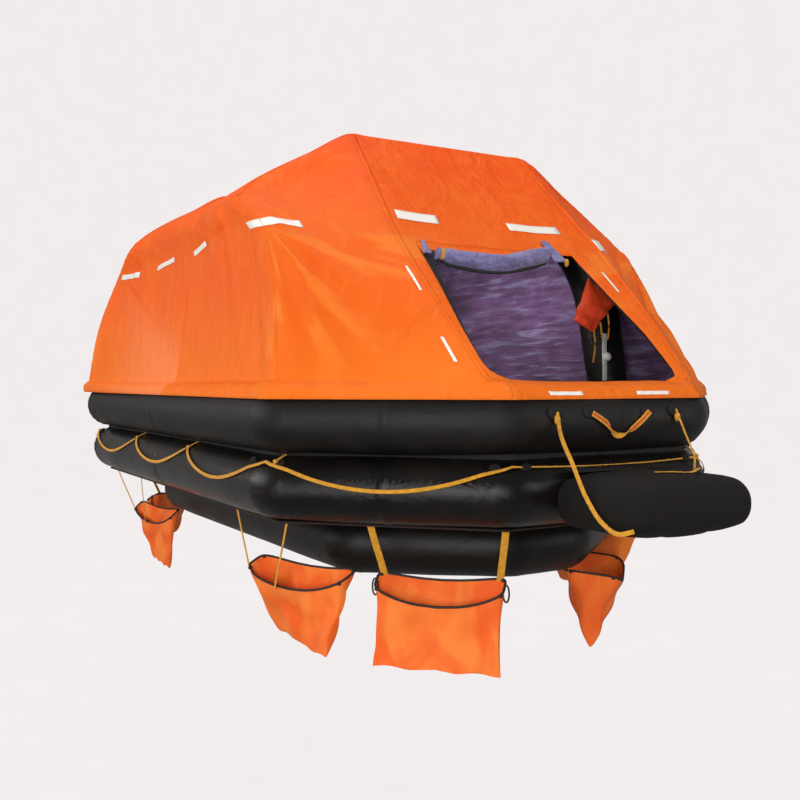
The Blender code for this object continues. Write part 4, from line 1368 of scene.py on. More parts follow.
class RAFT_OT_doors(bpy.types.Operator):
    """Roll the door flaps up, tie them, and hang the gear bag and lamp in the doorway"""

    bl_idname = "raft.doors"
    bl_label = "Doorways"

    def execute(self, context):
        settings = context.scene.raft_canopy
        cloth = roll_cloth(settings)
        black = plain_finish("door_cord", (0.012, 0.011, 0.011), 0.6, grain=200.0, depth=0.001)
        # Painted shadow: a near-black cloth for the shadow along the doorway's edge and in the gap behind its
        # steep side.
        shadow = plain_finish("door_edge_shadow", (0.004, 0.0035, 0.0035), 0.95, grain=200.0, depth=0.001)
        ties = webbing_finish("tie_webbing", (0.85, 0.42, 0.03), (0.5, 0.18, 0.01))
        for end, way in ENDS:
            s = np.linspace(0, 1, 60)
            places = np.array(ROLL_LINE)
            y, height = smooth_curve(places, s * (len(places) - 1)).T
            path = np.stack([(door_plane(height) + 0.012) * way, y * way, height], axis=1)
            tied = 1 - 0.35 * hump(s, 0.03, 0.02) - 0.35 * hump(s, 0.97, 0.02)
            radius = 0.047 * tied * (0.72 + 0.28 * np.sin(math.pi * s) ** 0.6)
            shape = Shape()
            turn = full_turn(36)
            _, aside, over = path_frames(path)
            spiral = 1 + 0.06 * np.sin(turn[None] * 3 + s[:, None] * 14)
            spiral = spiral + 0.05 * ripple(turn[None] * 2, s[:, None] * 9, 5, 3)
            ring = aside[:, None] * np.cos(turn)[None, :, None] + over[:, None] * np.sin(turn)[None, :, None]
            shape.skin(path[:, None] + ring * (radius[:, None] * spiral)[..., None])
            under = path + np.array((0.004 * way, 0, 0)) - np.array((0, 0, 1)) * (radius + 0.006)[:, None]
            shape.tube(under, 0.009, 10, slot=1)
            for across, levels, wide in (
                (0.782, (3.70, 4.06), np.linspace(0.095, 0.050, 16)),
                (0.145, (3.66, 3.86), np.linspace(0.050, 0.018, 16)),
            ):
                rows = share_at(np.linspace(*levels, 16), TOP_LEVEL, settings.spacing)
                line = CanopyPanels.on("canopy_end_" + end, across if way > 0 else 1 - across, rows, 0.010)
                shape.ribbon(line, wide, 0.006, (way, 0, 0.9))
            for at in (2, 57):
                around = path[at] + (radius[at] + 0.004) * (
                    np.cos(turn)[:, None] * aside[at] + np.sin(turn)[:, None] * over[at]
                )
                shape.ribbon(around, 0.022, 0.003, unit(around - path[at]), slot=2, closed=True)
            knot = np.array(((door_plane(1.02) + 0.02) * way, 0.345 * way, 1.005))
            shape.ball(knot, 0.013, squash=(1.0, 1.0, 1.8), slot=2, segments=10)
            made = shape.piece("door_roll_" + end + "_cloth", [cloth, black, ties], crease=70)
            finished(made, "purple_lining", "door_roll_" + end)
            self.door_edge(end, way, shadow)
            self.door_head(end, way, canopy_cloth(settings))
        self.gear_bag()
        self.lamp()
        return {"FINISHED"}

    def door_head(self, end, way, cloth):
        """The cloth over the roll: a strip in the panel's own slope, whose lower edge sags with the roll."""
        grid = CanopyPanels.grids["canopy_end_" + end]
        row = np.where(grid[DOOR_FIRST, :, 2] < DOOR_TOP)[0][-1] + 1
        top = grid[DOOR_FIRST : DOOR_LAST + 1, row]
        turned = top[:, 1] * way
        low = np.minimum(np.interp(turned, *np.array(HEAD_LINE).T), top[:, 2])
        out = door_plane(low) + (top[:, 0] * way - door_plane(top[:, 2]))
        foot = np.stack([out * way, top[:, 1], low], axis=1)
        shape = Shape()
        shape.cloth(between(top, foot, 8))
        made = shape.piece("door_head_" + end, [cloth], crease=60, weld=False)
        walled(made, 0.003)
        finished(made, "orange_fabric")

    def door_edge(self, end, way, black):
        """A black cord round the doorway's edge and a black band, narrowing downwards, behind its steep side:
        painted shadow along the opening's edge and in the gap between the edge and the lining inside.
        """
        grid = CanopyPanels.grids["canopy_end_" + end]
        heights = grid[DOOR_FIRST, :, 2]
        rows = np.where((heights > DOOR_SILL) & (heights < DOOR_TOP))[0]
        left, right = grid[DOOR_FIRST, rows], grid[DOOR_LAST, rows]
        bottom = grid[DOOR_FIRST : DOOR_LAST + 1, rows[0]]
        path = np.vstack([left[::-1], bottom[1:-1], right])
        shape = Shape()
        inward = np.array((-0.006 * way, 0.0, -0.006))
        shape.tube(even_curve(path[::3] + inward, 160), 0.005, 10, up=(way, 0, 1))
        hand = -1 if way > 0 else 1
        side = left if way > 0 else right
        share = (side[:, 2] - side[0, 2]) / (side[-1, 2] - side[0, 2])
        wide = 0.006 + 0.060 * share**1.5 * (1 - 0.6 * share**8)
        band = side - np.outer(wide / 2, (0, hand, 0)) - np.array((0.014 * way, 0, 0))
        shape.ribbon(band, wide, 0.003, (way, 0, 0.6))
        finished(shape.piece("door_edge_" + end, [black], crease=60), "purple_lining")

    def gear_bag(self):
        """A flat bag hung by one corner: its outline is a slanting diamond, its thickness a low sine."""
        cloth = plain_finish("bag_cloth", (1.0, 0.085, 0.020), 0.55, grain=24.0, depth=0.004)
        string = webbing_finish("bag_string", (0.80, 0.34, 0.03), (0.5, 0.1, 0.01))
        corners = np.array(GEAR_BAG)[::-1]
        s = np.linspace(0, 1, 44)
        height = corners[-1, 2] + (corners[0, 2] - corners[-1, 2]) * s
        left = np.interp(height, corners[:, 2], corners[:, 0])
        right = np.interp(height, corners[:, 2], corners[:, 1])
        turn = full_turn(40)[None]
        across, half_y = ((left + right) / 2)[:, None], ((right - left) / 2)[:, None]
        half_t = (0.006 + 0.022 * np.sin(math.pi * s) ** 0.8)[:, None]
        crumple = 0.008 * np.sin(across * 60 + height[:, None] * 25 + 3 * np.cos(turn))
        points = np.empty((44, 40, 3))
        points[..., 0] = GEAR_BAG_X + half_t * np.sin(turn) + crumple
        points[..., 1] = across + half_y * np.cos(turn)
        points[..., 2] = height[:, None]
        shape = Shape()
        shape.skin(points)
        for y, top, low in ((0.636, 0.640, 0.455), (0.685, 0.690, 0.600), (0.742, 0.745, 0.590)):
            z = np.linspace(top, low, 12)
            sway = 0.010 * np.sin((top - z) * 20)
            hang = np.stack([np.full(12, GEAR_BAG_X + 0.012), y + sway, z], axis=1)
            shape.tube(hang, 0.0055, 8, slot=1)
        hanger = ((GEAR_BAG_X, 0.61, 0.955), (GEAR_BAG_X, 0.615, 0.99), (GEAR_BAG_X + 0.01, 0.62, 1.02))
        shape.tube(even_curve(hanger, 14), 0.005, 8, slot=1)
        finished(shape.piece("gear_bag_cloth", [cloth, string], crease=60), "pocket_fabric", "gear_bag")

    def lamp(self):
        """The arch lamp: a small ball on a flat strip with a foot."""
        white = plain_finish("lamp_white", (0.80, 0.79, 0.76), 0.3, coat=0.3, grain=60.0)
        shape = Shape()
        shape.ball(LAMP, 0.028)
        foot = ((0, 0.020), (0.004, 0.020), (0.007, 0.016))
        shape.lathe(foot, (LAMP_BACK, *LAMP[1:]), (1, 0, 0), 24)
        z = np.linspace(*LAMP_STRIP, 24)
        bend = np.stack([LAMP_BACK - 0.0005 + 0.003 * np.sin(z * 20), np.full(24, LAMP[1]), z], axis=1)
        shape.ribbon(bend, 0.036, 0.005, (1, 0, 0))
        finished(shape.piece("arch_lamp_shell", [white], crease=40), "white_plastic", "arch_lamp")


# Water pockets


class RAFT_OT_pockets(bpy.types.Operator):
    """Hang the eight open water pockets, each crumpled in its own way, with rim cord, knots and straps"""

    bl_idname = "raft.pockets"
    bl_label = "Water pockets"

    def execute(self, context):
        settings = context.scene.raft_pockets
        cloth = pocket_cloth(settings)
        cord = plain_finish("rim_cord", (0.014, 0.012, 0.012), 0.6, grain=260.0, depth=0.001)
        strap = webbing_finish("pocket_webbing", context.scene.raft_hull.webbing, (0.5, 0.16, 0.01))
        for seed, row in enumerate(POCKETS):
            self.pocket(settings, row, seed, cloth, cord, strap)
        return {"FINISHED"}

    def pocket(self, settings, row, seed, cloth, cord, strap):
        """A bag from rim to foot: a rounded oblong that narrows to a flat sewn edge.

        Long folds slant from the strap corners to the foot, the rim sags, and the cloth is hollow between.
        """
        name, x, y, heading, rim_height, foot_half, foot_shift, openness, twist = row
        heading = math.radians(heading)
        out = np.array((math.cos(heading), math.sin(heading), 0.0))
        along = np.array((-out[1], out[0], 0.0))
        middle = np.array((x, y, 0.0))
        turn = full_turn(RIM_PLACES)[:, None]
        drop = np.linspace(0, 1, 48)[None]
        a, n = squared(np.cos(turn), 0.42), squared(np.sin(turn), 0.42)
        random = np.random.default_rng(100 + seed)
        narrow = drop**1.15
        half_a = settings.half_width + (foot_half - settings.half_width) * narrow
        half_a = half_a * (1 - 0.05 * np.sin(math.pi * drop))
        place_a = a * half_a + foot_shift * narrow
        fade = (1 - drop) ** 0.8
        wide_open = (POCKET_FRONT - POCKET_BACK) * openness
        start = (POCKET_BACK + 0.5 * wide_open) if twist == 0.0 else 0.05
        centre = start * fade + 0.04 * (1 - fade) - twist * a * fade
        depth = 0.5 * wide_open * fade + 0.010
        place_n = centre + n * depth
        front = (n + 1) / 2
        rim_sag = (1 - a**2) * (0.035 + 0.030 * front) + (0.075 if openness < 0.6 else 0.03) * front
        rim_z = rim_height - rim_sag
        foot_z = rim_height - POCKET_HEIGHT + 0.010 * (1 - a) * random.uniform(0.2, 1.0)
        foot_z = foot_z + 0.006 * np.sin(a * 9 + seed)
        z = rim_z + (foot_z - rim_z) * drop
        body = np.sin(math.pi * drop) ** 0.6
        slanted = 2 * place_a / settings.half_width + 2.2 * drop
        crossed = 1.5 * place_a / settings.half_width - 1.7 * drop
        push = 0.011 * np.sin(3.1 * slanted + random.uniform(0, 6))
        push = push + 0.008 * np.sin(4.3 * crossed + random.uniform(0, 6))
        push = body * (push + 0.007 * ripple(place_a * 7, drop * 3 + n, 200 + seed, 3))
        hollow = -0.020 * body * (1 - a**2) * (n > 0) * (0.5 + 0.5 * np.sin(drop * 3.0))
        place_n = place_n + push * np.where(n >= 0, 1, -1) + hollow
        place_n = np.clip(place_n, POCKET_BACK - 0.005, POCKET_FRONT + 0.005)
        points = (
            middle + along * place_a[..., None] + out * place_n[..., None]
            + np.array((0, 0, 1)) * z[..., None]
        )
        shape = Shape()
        shape.grid(points, wrap_u=True)
        bag = shape.piece("pocket_" + name, [cloth], crease=80, weld=False, outward=False)
        self.close_foot(bag, points)
        walled(bag, 0.003)
        finished(bag, "pocket_fabric", "water_pocket_" + name)
        self.trim(settings, name, middle, along, out, points[:, 0], cord, strap)

    def trim(self, settings, name, middle, along, out, rim, cord, strap):
        """The rim cord with a loop and knots at each end, and two straps up to the hull."""
        shape = Shape()
        shape.tube(rim + np.array((0, 0, 0.004)), settings.cord, 10, closed=True)
        if name.startswith("corner"):
            turn = full_turn(28)[:, None]
            for k, side in ((0, 1), (RIM_PLACES // 2, -1)):
                centre = rim[k] - np.array((0, 0, 0.030))
                loop = centre + along * side * (0.006 + 0.014 * np.cos(turn)) + (0, 0, 0.040) * np.sin(turn)
                shape.tube(loop, 0.0045, 8, up=out, closed=True)
        for k in (8, 48, 64, 104):
            shape.ball(rim[k], 0.012, squash=(1.0, 1.0, 0.85), segments=8)
        if name.startswith("side"):
            places = ((-0.44, 0.225, 50), (0.235, 0.225, 29))
            top_z, wide = HULL_UNDERSIDE - 0.0015, 0.017
        elif name.startswith("corner"):
            places = ((-0.325, 0.010, 68), (0.325, 0.010, 100))
            top_z, wide = HULL_UNDERSIDE - 0.0015, 0.034
        else:
            places = ((-0.283, -0.075, 68), (0.283, -0.075, 100))
            top_z, wide = LOWER_Z - TUBE_RADIUS - 0.002, 0.024
        for a, n, k in places:
            top = middle + along * a + out * n + np.array((0, 0, top_z))
            low = rim[k] + np.array((0, 0, -0.012))
            path = (top, top * 0.67 + low * 0.33 - (0, 0, 0.004), top * 0.3 + low * 0.7, low)
            shape.ribbon(even_curve(path, 22), wide, 0.004, out, slot=1)
        finished(shape.piece("pocket_trim_" + name, [cord, strap], crease=50), "webbing")

    def close_foot(self, bag, points):
        """Sews the foot: the last ring's two long sides meet in quads, so the bag has a closed flat edge."""
        rings, rows = points.shape[:2]
        last = np.arange(rings) * rows + rows - 1
        half = rings // 2
        bm = bmesh.new()
        bm.from_mesh(bag.data)
        bm.verts.ensure_lookup_table()
        ring = [bm.verts[int(k)] for k in last]
        for k in range(half - 1):
            first, second = ring[k], ring[k + 1]
            third, fourth = ring[rings - 2 - k], ring[rings - 1 - k]
            if k + 1 != rings - 2 - k:
                bm.faces.new((first, second, third, fourth))
        bmesh.ops.remove_doubles(bm, verts=bm.verts, dist=1e-6)
        bmesh.ops.recalc_face_normals(bm, faces=bm.faces)
        bm.to_mesh(bag.data)
        bm.free()
        normal_sum = sum(
            (p.normal.dot(p.center - bag.data.vertices[0].co) for p in bag.data.polygons), 0.0
        )
        if normal_sum < 0:
            bag.data.flip_normals()
        bag.data.shade_smooth()
        bag.data.set_sharp_from_angle(angle=math.radians(80))


# Lines, straps and ramps


class RAFT_OT_lines(bpy.types.Operator):
    """Run the grab line round the hull, with its patches, the handles and the boarding straps"""

    bl_idname = "raft.lines"
    bl_label = "Lines and straps"

    def execute(self, context):
        hull = context.scene.raft_hull
        self.webbing = webbing_finish("line_webbing", hull.webbing, (0.42, 0.12, 0.008))
        self.red = webbing_finish("ladder_webbing", (0.78, 0.13, 0.012), (0.5, 0.06, 0.006))
        self.matt = matt_rubber(hull)
        self.grab_line()
        self.end_straps()
        self.tow_patches()
        return {"FINISHED"}

    def grab_line(self):
        """Flat webbing on the middle tube, whose height between two patches is a parabola.

        Near a corner the webbing faces half way between its two sides.
        """
        plan = octagon(**HULL)
        sides = np.roll(plan, -1, axis=0) - plan
        lengths, ahead = np.linalg.norm(sides, axis=1), unit(sides)
        normals = np.stack([ahead[:, 1], -ahead[:, 0]], axis=1)
        rows, patches = [], []
        for corner in range(8):
            cuts = [0.5 + s / lengths[corner] for s in LINE_SIDE_PATCHES] if corner in (2, 6) else []
            stops = [0.0] + cuts + [1.0]
            sag = LINE_END_SAG if corner in (0, 4) else LINE_SAG
            t = np.linspace(0, 1, 40, endpoint=False)
            for first, second in zip(stops, stops[1:]):
                patches.append((corner, first))
                height = LINE_PATCH_Z - sag * 4 * t * (1 - t)
                rows.append(np.stack([np.full(40, corner), first + (second - first) * t, height]))
        corner, share, height = np.hstack(rows)
        corner = corner.astype(int)
        into = (0.5 * (1 - rise(share * lengths[corner], 0.0, 0.10)))[:, None]
        onto = (0.5 * (1 - rise((1 - share) * lengths[corner], 0.0, 0.10)))[:, None]
        flat = normals[corner] * (1 - into - onto)
        flat = unit(flat + normals[(corner - 1) % 8] * into + normals[(corner + 1) % 8] * onto)
        tilt = np.arcsin(np.clip((height - MIDDLE_Z) / NOMINAL_RADIUS, -1, 1))
        away = TUBE_RADIUS + 0.0075
        spot = plan[corner] + sides[corner] * share[:, None] + flat * (away * np.cos(tilt))[:, None]
        points = np.column_stack([spot, MIDDLE_Z + away * np.sin(tilt)])
        width = np.where((corner == 0) | (corner == 4), 0.007, 0.018)
        for _ in range(4):
            width = (np.roll(width, 1) + width + np.roll(width, -1)) / 3
        shape = Shape()
        face = np.column_stack([flat * np.cos(tilt)[:, None], np.sin(tilt)])
        shape.ribbon(points, width, 0.0042, face, closed=True)
        finished(shape.piece("grab_line_webbing", [self.webbing], crease=60), "webbing", "grab_line")
        angle = math.asin((LINE_PATCH_Z - MIDDLE_Z) / NOMINAL_RADIUS)
        self.line_patches(patches, lengths, angle)
        self.line_tails(patches, lengths, angle)

    def line_patches(self, patches, lengths, angle):
        """The line's patches: one at each place on a long side, two at each corner."""
        shape = Shape()
        for corner, share in patches:
            places = [(corner, share)]
            if share == 0.0:
                length = lengths[corner]
                places = [(corner, 0.032 / length), ((corner - 1) % 8, 1 - 0.032 / max(length, 1.0))]
            for where, part in places:
                patch_on_tube(shape, where, part, angle, MIDDLE_Z, 0.026, 0.020, 0, 0.0100, 2.2)
        finished(shape.piece("line_patches", [self.matt], crease=60), "black_rubber")

    def line_tails(self, patches, lengths, angle):
        """A knot and its short tail beside every patch that isn't on an end."""
        shape = Shape()
        for count, (corner, share) in enumerate(patches):
            if corner not in (0, 4):
                up = 1.0 if count % 4 else -1.0
                line, face = [], []
                for t in np.linspace(0, 1, 7):
                    part = share + (0.012 + 0.035 * t) / lengths[corner]
                    spot, out = tube_place(corner, part, angle + up * 0.34 * t, MIDDLE_Z, 0.009)
                    line.append(spot)
                    face.append(out)
                shape.ribbon(line, 0.013, 0.003, face)
                shape.ball(line[0], 0.013, segments=8)
        finished(shape.piece("line_tails", [self.webbing], crease=60), "webbing")

    def end_straps(self):
        """On each end a two-tone handle with its patches, and the knots and patches of the ramp's straps."""
        shape = Shape()
        end_width = 2 * (UPPER["half_width"] - UPPER["cut_y"])
        for way in (1, -1):
            handle = even_curve(self.on_end(way, [
                (-0.167, 0.198), (-0.120, 0.172), (-0.088, 0.153), (-0.045, 0.116),
                (-0.001, 0.090), (0.068, 0.1135), (0.130, 0.155), (0.191, 0.201),
            ], 0.016), 72)
            turn = 2.2 * math.pi * rise(np.linspace(0, 1, 72), 0.18, 0.82)
            face = np.stack([way * np.cos(turn), np.zeros(72), np.sin(turn)], axis=1)
            shape.ribbon(handle, 0.026, 0.004, face)
            shape.ribbon(handle + face * 0.0022, 0.012, 0.003, face, slot=1)
            for y, z in ((-0.373, 0.200), (0.372, 0.205), (-0.167, 0.20), (0.191, 0.203)):
                corner, share = 0 if way > 0 else 4, 0.5 + y / end_width
                angle = math.asin((z - UPPER_Z) / TUBE_RADIUS)
                patch_on_tube(shape, corner, share, angle, UPPER_Z, 0.045, 0.028, 2, 0.010, 2.6, UPPER)
            for y in (-0.375, 0.375):
                centre = (way * (HULL_END + TUBE_RADIUS + 0.012), way * y, 0.172)
                shape.ball(centre, 0.019, squash=(0.7, 0.8, 1.2), segments=10)
        finished(shape.piece("end_straps", [self.webbing, self.red, self.matt], crease=60), "webbing")
        for end, way in ENDS:
            self.ramp_straps(end, way)

    def on_end(self, way, rows, lift):
        """Places given as (y, z), laid on an end's two stacked tubes and over the groove between them."""
        y, z = np.array(rows).T
        centre = np.where(z >= 0, UPPER_Z, MIDDLE_Z)
        out = np.sqrt(np.maximum((TUBE_RADIUS + lift) ** 2 - (z - centre) ** 2, 0.0009))
        bridge = HULL_END + TUBE_RADIUS - 0.05 + lift
        x = np.where(np.abs(z) < 0.06, np.maximum(HULL_END + out, bridge), HULL_END + out)
        return np.stack([x * way, y * way, z], axis=1)

    def ramp_straps(self, end, way):
        """The two slack straps from the knots on the upper tube down to the ramp, which follow both."""
        turn = np.array((way, way, 1))
        near = np.array([
            (2.618, -0.373, 0.205), (2.632, -0.376, 0.165), (2.655, -0.386, 0.122),
            (2.757, -0.397, -0.021), (2.853, -0.399, -0.163), (2.945, -0.396, -0.252),
            (3.030, -0.385, -0.286), (3.075, -0.345, -0.272),
        ]) * turn
        far = np.array([
            (2.618, 0.372, 0.210), (2.634, 0.380, 0.165), (2.662, 0.386, 0.100), (2.702, 0.382, 0.035),
            (2.748, 0.362, -0.025), (2.780, 0.325, -0.068),
        ]) * turn
        shape = Shape()
        shape.ribbon(even_curve(near, 80), 0.020, 0.0035, (0.25 * way, -way, 0.15))
        shape.ribbon(even_curve(far, 60), 0.018, 0.0035, (way, 0.3 * way, 0.3))
        made = shape.piece("ramp_straps_" + end, [self.webbing], crease=60)
        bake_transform(made)

    def tow_patches(self):
        """Towing patches on the back end: a layered oblong with a raised eye and a ring."""
        steel = plain_finish("tow_ring", (0.55, 0.55, 0.54), 0.3, metallic=1.0, grain=120.0, depth=0.0003)
        for side, hand in HANDS:
            y = hand * TOW_Y
            shape = Shape()
            face = -(HULL_END + NOMINAL_RADIUS)
            turn = full_turn(40)
            c, s = np.cos(turn), np.sin(turn)
            for lift, half_w, half_h in ((0.0, 0.10, 0.065), (0.005, 0.075, 0.048)):
                ring_y, ring_z = squared(c, 0.45) * half_w, squared(s, 0.45) * half_h
                rings = []
                for share, out in (
                    (1.0, 0.004), (1.0, -0.003 - lift), (0.96, -0.0055 - lift), (0.5, -0.006 - lift),
                ):
                    ring = [np.full(40, face + out), y + ring_y * share, TOW_Z + ring_z * share]
                    rings.append(np.stack(ring, axis=1))
                shape.skin(np.array(rings))
            ring = np.stack([np.full(40, face - 0.0145), y + 0.028 * c, EYE_Z + 0.028 * s], axis=1)
            shape.tube(ring, 0.0045, 10, slot=1, up=(1, 0, 0), closed=True)
            t = np.linspace(0, math.pi, 12)
            height = EYE_Z + 0.028 + 0.022 * np.cos(t)
            loop = np.stack([face - 0.010 - 0.009 * np.sin(t), np.full(12, y), height], axis=1)
            shape.ribbon(loop, 0.026, 0.003, (-1, 0, 0.1))
            made = shape.piece("towing_patch_" + side + "_eye", [self.matt, steel], crease=50)
            finished(made, "black_rubber", "towing_patch_" + side)


class RAFT_OT_ramps(bpy.types.Operator):
    """Inflate the two boarding ramps and hinge them to the hull with cloth"""

    bl_idname = "raft.ramps"
    bl_label = "Boarding ramps"

    def execute(self, context):
        hull = context.scene.raft_hull
        rubber, matt = coated_rubber(hull, 0.42), matt_rubber(hull)
        webbing = webbing_finish("ramp_webbing", hull.webbing, (0.42, 0.12, 0.008))
        for end, way in ENDS:
            self.tongue(end, way, rubber, webbing)
            self.skirt(end, way, matt)
        return {"FINISHED"}

    def tongue(self, end, way, rubber, webbing):
        """A flat inflated bag: rounded sections along its reach that draw in at the tip.

        It has two grooves where inner ties hold its top and bottom together, and creases out of the hinge.
        """
        reach = 0.5 - 0.5 * np.cos(np.linspace(0, math.pi, 48))
        phi = full_turn(72)
        c, s = np.cos(phi)[None], np.sin(phi)[None]
        tip = np.clip((reach - 0.62) / 0.38, 0, 1)
        close = np.sqrt(np.maximum(1 - tip**2.6, 0.0))[:, None]
        half_z = RAMP_THICKNESS / 2 * (0.16 + 0.84 * close)
        half_y = RAMP_HALF_WIDTH * (1 - 0.30 * (1 - close))
        root = rise(reach, 0.0, 0.10)[:, None]
        half_z = half_z * (0.90 + 0.10 * root)
        side = np.maximum(half_y - half_z, 0.02)
        across = np.clip(c * 1.6, -1, 1)
        y = across * side + half_z * squared(c, 1.2)
        grooves = 0.010 * (hump(y, -0.13, 0.03) + hump(y, 0.13, 0.03))
        grooves = grooves * np.sin(math.pi * reach)[:, None] ** 0.5
        creases = 0.004 * np.sin(phi * 19)[None] * np.exp(-reach / 0.10)[:, None]
        high = half_z * squared(s, 0.8) - np.sign(s) * grooves + creases * s
        x = RAMP_HINGE[0] + 0.002 + (RAMP_REACH - 0.002) * reach[:, None]
        z = RAMP_HINGE[1] - RAMP_THICKNESS / 2 + high
        shape = Shape()
        shape.skin(np.stack([np.broadcast_to(way * x, y.shape), y, z], axis=2))
        strap = even_curve(np.array([
            (0.150, 0.325, -0.012), (0.235, 0.265, 0.002), (0.320, 0.160, 0.009), (0.362, 0.070, 0.004),
            (0.345, -0.010, 0.008), (0.275, -0.057, 0.003),
        ]) * (way, way, 1) + (way * RAMP_HINGE[0], 0, RAMP_HINGE[1]), 60)
        shape.ribbon(strap, 0.016, 0.003, (0, 0, 1), slot=1)
        made = shape.piece("ramp_" + end + "_tongue", [rubber, webbing], crease=70)
        finished(made, "black_rubber", "boarding_ramp_" + end, body="ramp_" + end)

    def skirt(self, end, way, matt):
        """The cloth hinge on top, bent between hull and ramp."""
        s = np.linspace(0, 1, 14)[:, None]
        y = np.linspace(-1, 1, 40)[None]
        x = RAMP_HINGE[0] - 0.035 + 0.095 * s
        half = RAMP_HALF_WIDTH * (0.86 - 0.03 * s)
        z = RAMP_HINGE[1] + 0.010 - 0.012 * s + 0.0018 * np.sin(y * 40) * np.sin(math.pi * s)
        points = np.stack(np.broadcast_arrays(way * x, y * half, z), axis=2)
        shape = Shape()
        shape.grid(points, flip=way < 0)
        made = shape.piece("ramp_" + end + "_hinge_cloth", [matt], crease=80, weld=False)
        walled(made, 0.003)
        area = round(cloth_area(made), 4)
        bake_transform(made)


class RAFT_OT_underside(bpy.types.Operator):
    """Finish the floor and the gas cylinder under it"""

    bl_idname = "raft.underside"
    bl_label = "Floor and cylinder"

    def execute(self, context):
        hull = context.scene.raft_hull
        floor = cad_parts["floor"]
        floor.data.materials.clear()
        floor.data.materials.append(matt_rubber(hull))
        paint = plain_finish("cylinder_paint", (0.35, 0.36, 0.37), 0.35, coat=0.4, grain=40.0, depth=0.0006)
        brass = plain_finish("valve_brass", (0.60, 0.44, 0.18), 0.32, metallic=1.0, grain=80.0)
        strap = webbing_finish("cylinder_webbing", (0.05, 0.05, 0.055), (0.02, 0.02, 0.02))
        shape = Shape()
        t = np.linspace(0, math.pi / 2, 12)
        dome = np.stack([0.075 * np.sin(t), CYLINDER_RADIUS * np.cos(t) ** 0.8 + 0.0004], axis=1)
        start = np.stack([-0.075 * np.cos(t), CYLINDER_RADIUS * np.sin(t) ** 0.8 + 0.0004], axis=1)
        outline = np.vstack([
            start - (CYLINDER_HALF, 0), [(CYLINDER_HALF - 0.02, CYLINDER_RADIUS)], dome + (CYLINDER_HALF, 0),
        ])
        shape.lathe(outline, CYLINDER, (1, 0, 0), 48)
        shape.lathe(((0.385, 0.030), (0.398, 0.030)), CYLINDER, (1, 0, 0), 24, 1)
        turn = full_turn(48)
        around = np.stack([np.zeros(48), np.cos(turn), np.sin(turn)], axis=1) * (CYLINDER_RADIUS + 0.0015)
        for x in (-0.22, 0.22):
            middle = np.array((x, *CYLINDER[1:]))
            shape.ribbon(middle + around, 0.05, 0.003, around, slot=2, closed=True)
        made = shape.piece("gas_cylinder_body", [paint, brass, strap], crease=40)
        finished(made, "cylinder_paint", "gas_cylinder")
        return {"FINISHED"}


# Stage


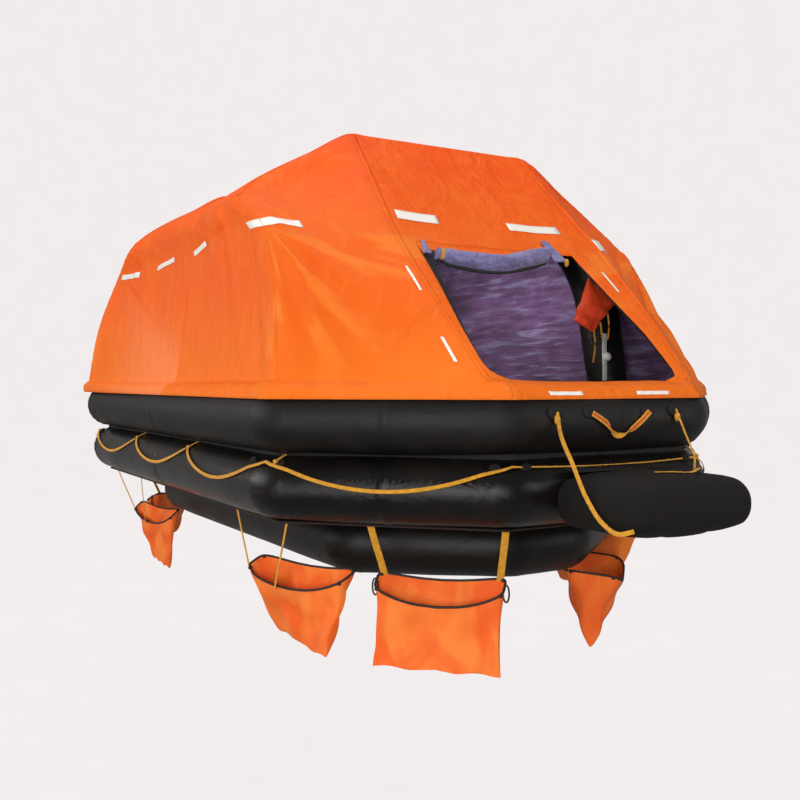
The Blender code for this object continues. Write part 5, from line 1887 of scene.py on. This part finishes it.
class RAFT_OT_stage(bpy.types.Operator):
    """Set the camera, soft lights, the pale floor and its curved backdrop"""

    bl_idname = "raft.stage"
    bl_label = "Stage"

    def execute(self, context):
        settings = context.scene.raft_stage
        context.scene.view_settings.view_transform = "Standard"
        self.camera(context, settings)
        self.backdrop(settings)
        self.lights()
        world = bpy.data.worlds.new("studio")
        world.use_nodes = True
        background = world.node_tree.nodes["Background"]
        background.inputs[0].default_value = (1.0, 0.97, 0.95, 1.0)
        background.inputs[1].default_value = 0.30
        context.scene.world = world
        return {"FINISHED"}

    def camera(self, context, settings):
        data = bpy.data.cameras.new("camera")
        data.lens = settings.lens
        data.sensor_width = 36.0
        data.sensor_fit = "HORIZONTAL"
        data.dof.use_dof = False
        data.clip_end = 200.0
        made = bpy.data.objects.new("camera", data)
        made.location = tuple(settings.eye)
        made.rotation_euler = (math.pi / 2 + settings.pitch, 0.0, settings.yaw - math.pi / 2)
        context.scene.collection.objects.link(made)
        context.scene.camera = made

    def backdrop(self, settings):
        """A floor that turns up into a wall: an outline of radius and height carried round the middle."""
        bend = np.linspace(0, math.pi / 2, 24)
        radius = np.concatenate([[0.01, 3.0, 8.0, 13.0], 13.0 + 6.0 * np.sin(bend)[1:], [19.0]])
        height = np.concatenate([[0, 0, 0, 0], 6.0 * (1 - np.cos(bend))[1:], [14.0]]) + settings.floor
        turn = full_turn(96)
        points = np.stack([
            radius[:, None] * np.cos(turn), radius[:, None] * np.sin(turn),
            np.broadcast_to(height[:, None], (len(radius), 96)),
        ], axis=2)
        shape = Shape()
        shape.grid(points, wrap_v=True)
        shape.cap(points[0])
        made = shape.piece("floor_and_backdrop", [backdrop_finish(settings)], crease=80, outward=False)
        made.visible_diffuse = False
        made.visible_glossy = False

    def lights(self):
        """A broad front softbox near the camera's height, a top panel and a weak fill from behind."""
        for name, place, aim, size, power, colour in (
            ("front_softbox", (7.6, -5.6, 0.9), (0.6, 0, 0.2), (5.0, 2.2), 325, (1, 0.97, 0.93)),
            ("left_softbox", (-3.4, -8.2, 2.4), (-0.4, 0, 0.3), (5.0, 2.6), 310, (1, 0.97, 0.94)),
            ("right_softbox", (8.6, 4.2, 1.6), (1.2, 0, 0.2), (3.4, 2.2), 150, (1, 0.97, 0.94)),
            ("top_panel", (0.6, -0.8, 6.4), (0.2, 0, 0), (5.5, 4.0), 230, (1, 0.98, 0.96)),
            ("back_fill", (-7.5, 6.0, 3.2), (0, 0, 0.2), (5.0, 3.0), 200, (1, 0.98, 0.97)),
            ("low_strip", (5.4, -6.6, -0.93), (2.2, -1.0, -0.16), (3.6, 0.34), 85, (1, 0.98, 0.96)),
            ("inner_glow", (0.6, 0.0, 1.22), (-0.1, 0.3, 0.3), (0.7, 0.6), 30, (1, 0.97, 0.98)),
        ):
            data = bpy.data.lights.new(name, "AREA")
            data.shape = "RECTANGLE"
            data.size, data.size_y = size
            data.energy = power
            data.color = colour
            made = bpy.data.objects.new(name, data)
            made.location = place
            toward = np.array(aim, float) - np.array(place, float)
            flat = math.hypot(toward[0], toward[1])
            heading = math.atan2(toward[1], toward[0])
            made.rotation_euler = (math.atan2(flat, -toward[2]), 0.0, heading - math.pi / 2)
            bpy.context.scene.collection.objects.link(made)


class RAFT_PT_panel(bpy.types.Panel):
    """The raft's builders, in the order they run"""

    bl_idname = "RAFT_PT_panel"
    bl_label = "Life raft"
    bl_space_type = "VIEW_3D"
    bl_region_type = "UI"
    bl_category = "Raft"

    def draw(self, context):
        for operator in OPERATORS:
            self.layout.operator(operator.bl_idname)


OPERATORS = (
    RAFT_OT_stage,
    RAFT_OT_tubes,
    RAFT_OT_arches,
    RAFT_OT_canopy,
    RAFT_OT_tapes,
    RAFT_OT_doors,
    RAFT_OT_pockets,
    RAFT_OT_lines,
    RAFT_OT_ramps,
    RAFT_OT_underside,
)
SETTINGS = (
    ("raft_hull", RaftHullSettings),
    ("raft_canopy", RaftCanopySettings),
    ("raft_pockets", RaftPocketSettings),
    ("raft_stage", RaftStageSettings),
)


def register():
    for _, group in SETTINGS:
        bpy.utils.register_class(group)
    for name, group in SETTINGS:
        setattr(bpy.types.Scene, name, PointerProperty(type=group))
    for operator in OPERATORS:
        bpy.utils.register_class(operator)
    bpy.utils.register_class(RAFT_PT_panel)


def unregister():
    bpy.utils.unregister_class(RAFT_PT_panel)
    for operator in reversed(OPERATORS):
        bpy.utils.unregister_class(operator)
    for name, group in reversed(SETTINGS):
        delattr(bpy.types.Scene, name)
        bpy.utils.unregister_class(group)


def main():
    register()
    for operator in OPERATORS:
        group, call = operator.bl_idname.split(".")
        getattr(getattr(bpy.ops, group), call)()


if __name__ == "__main__":
    main()
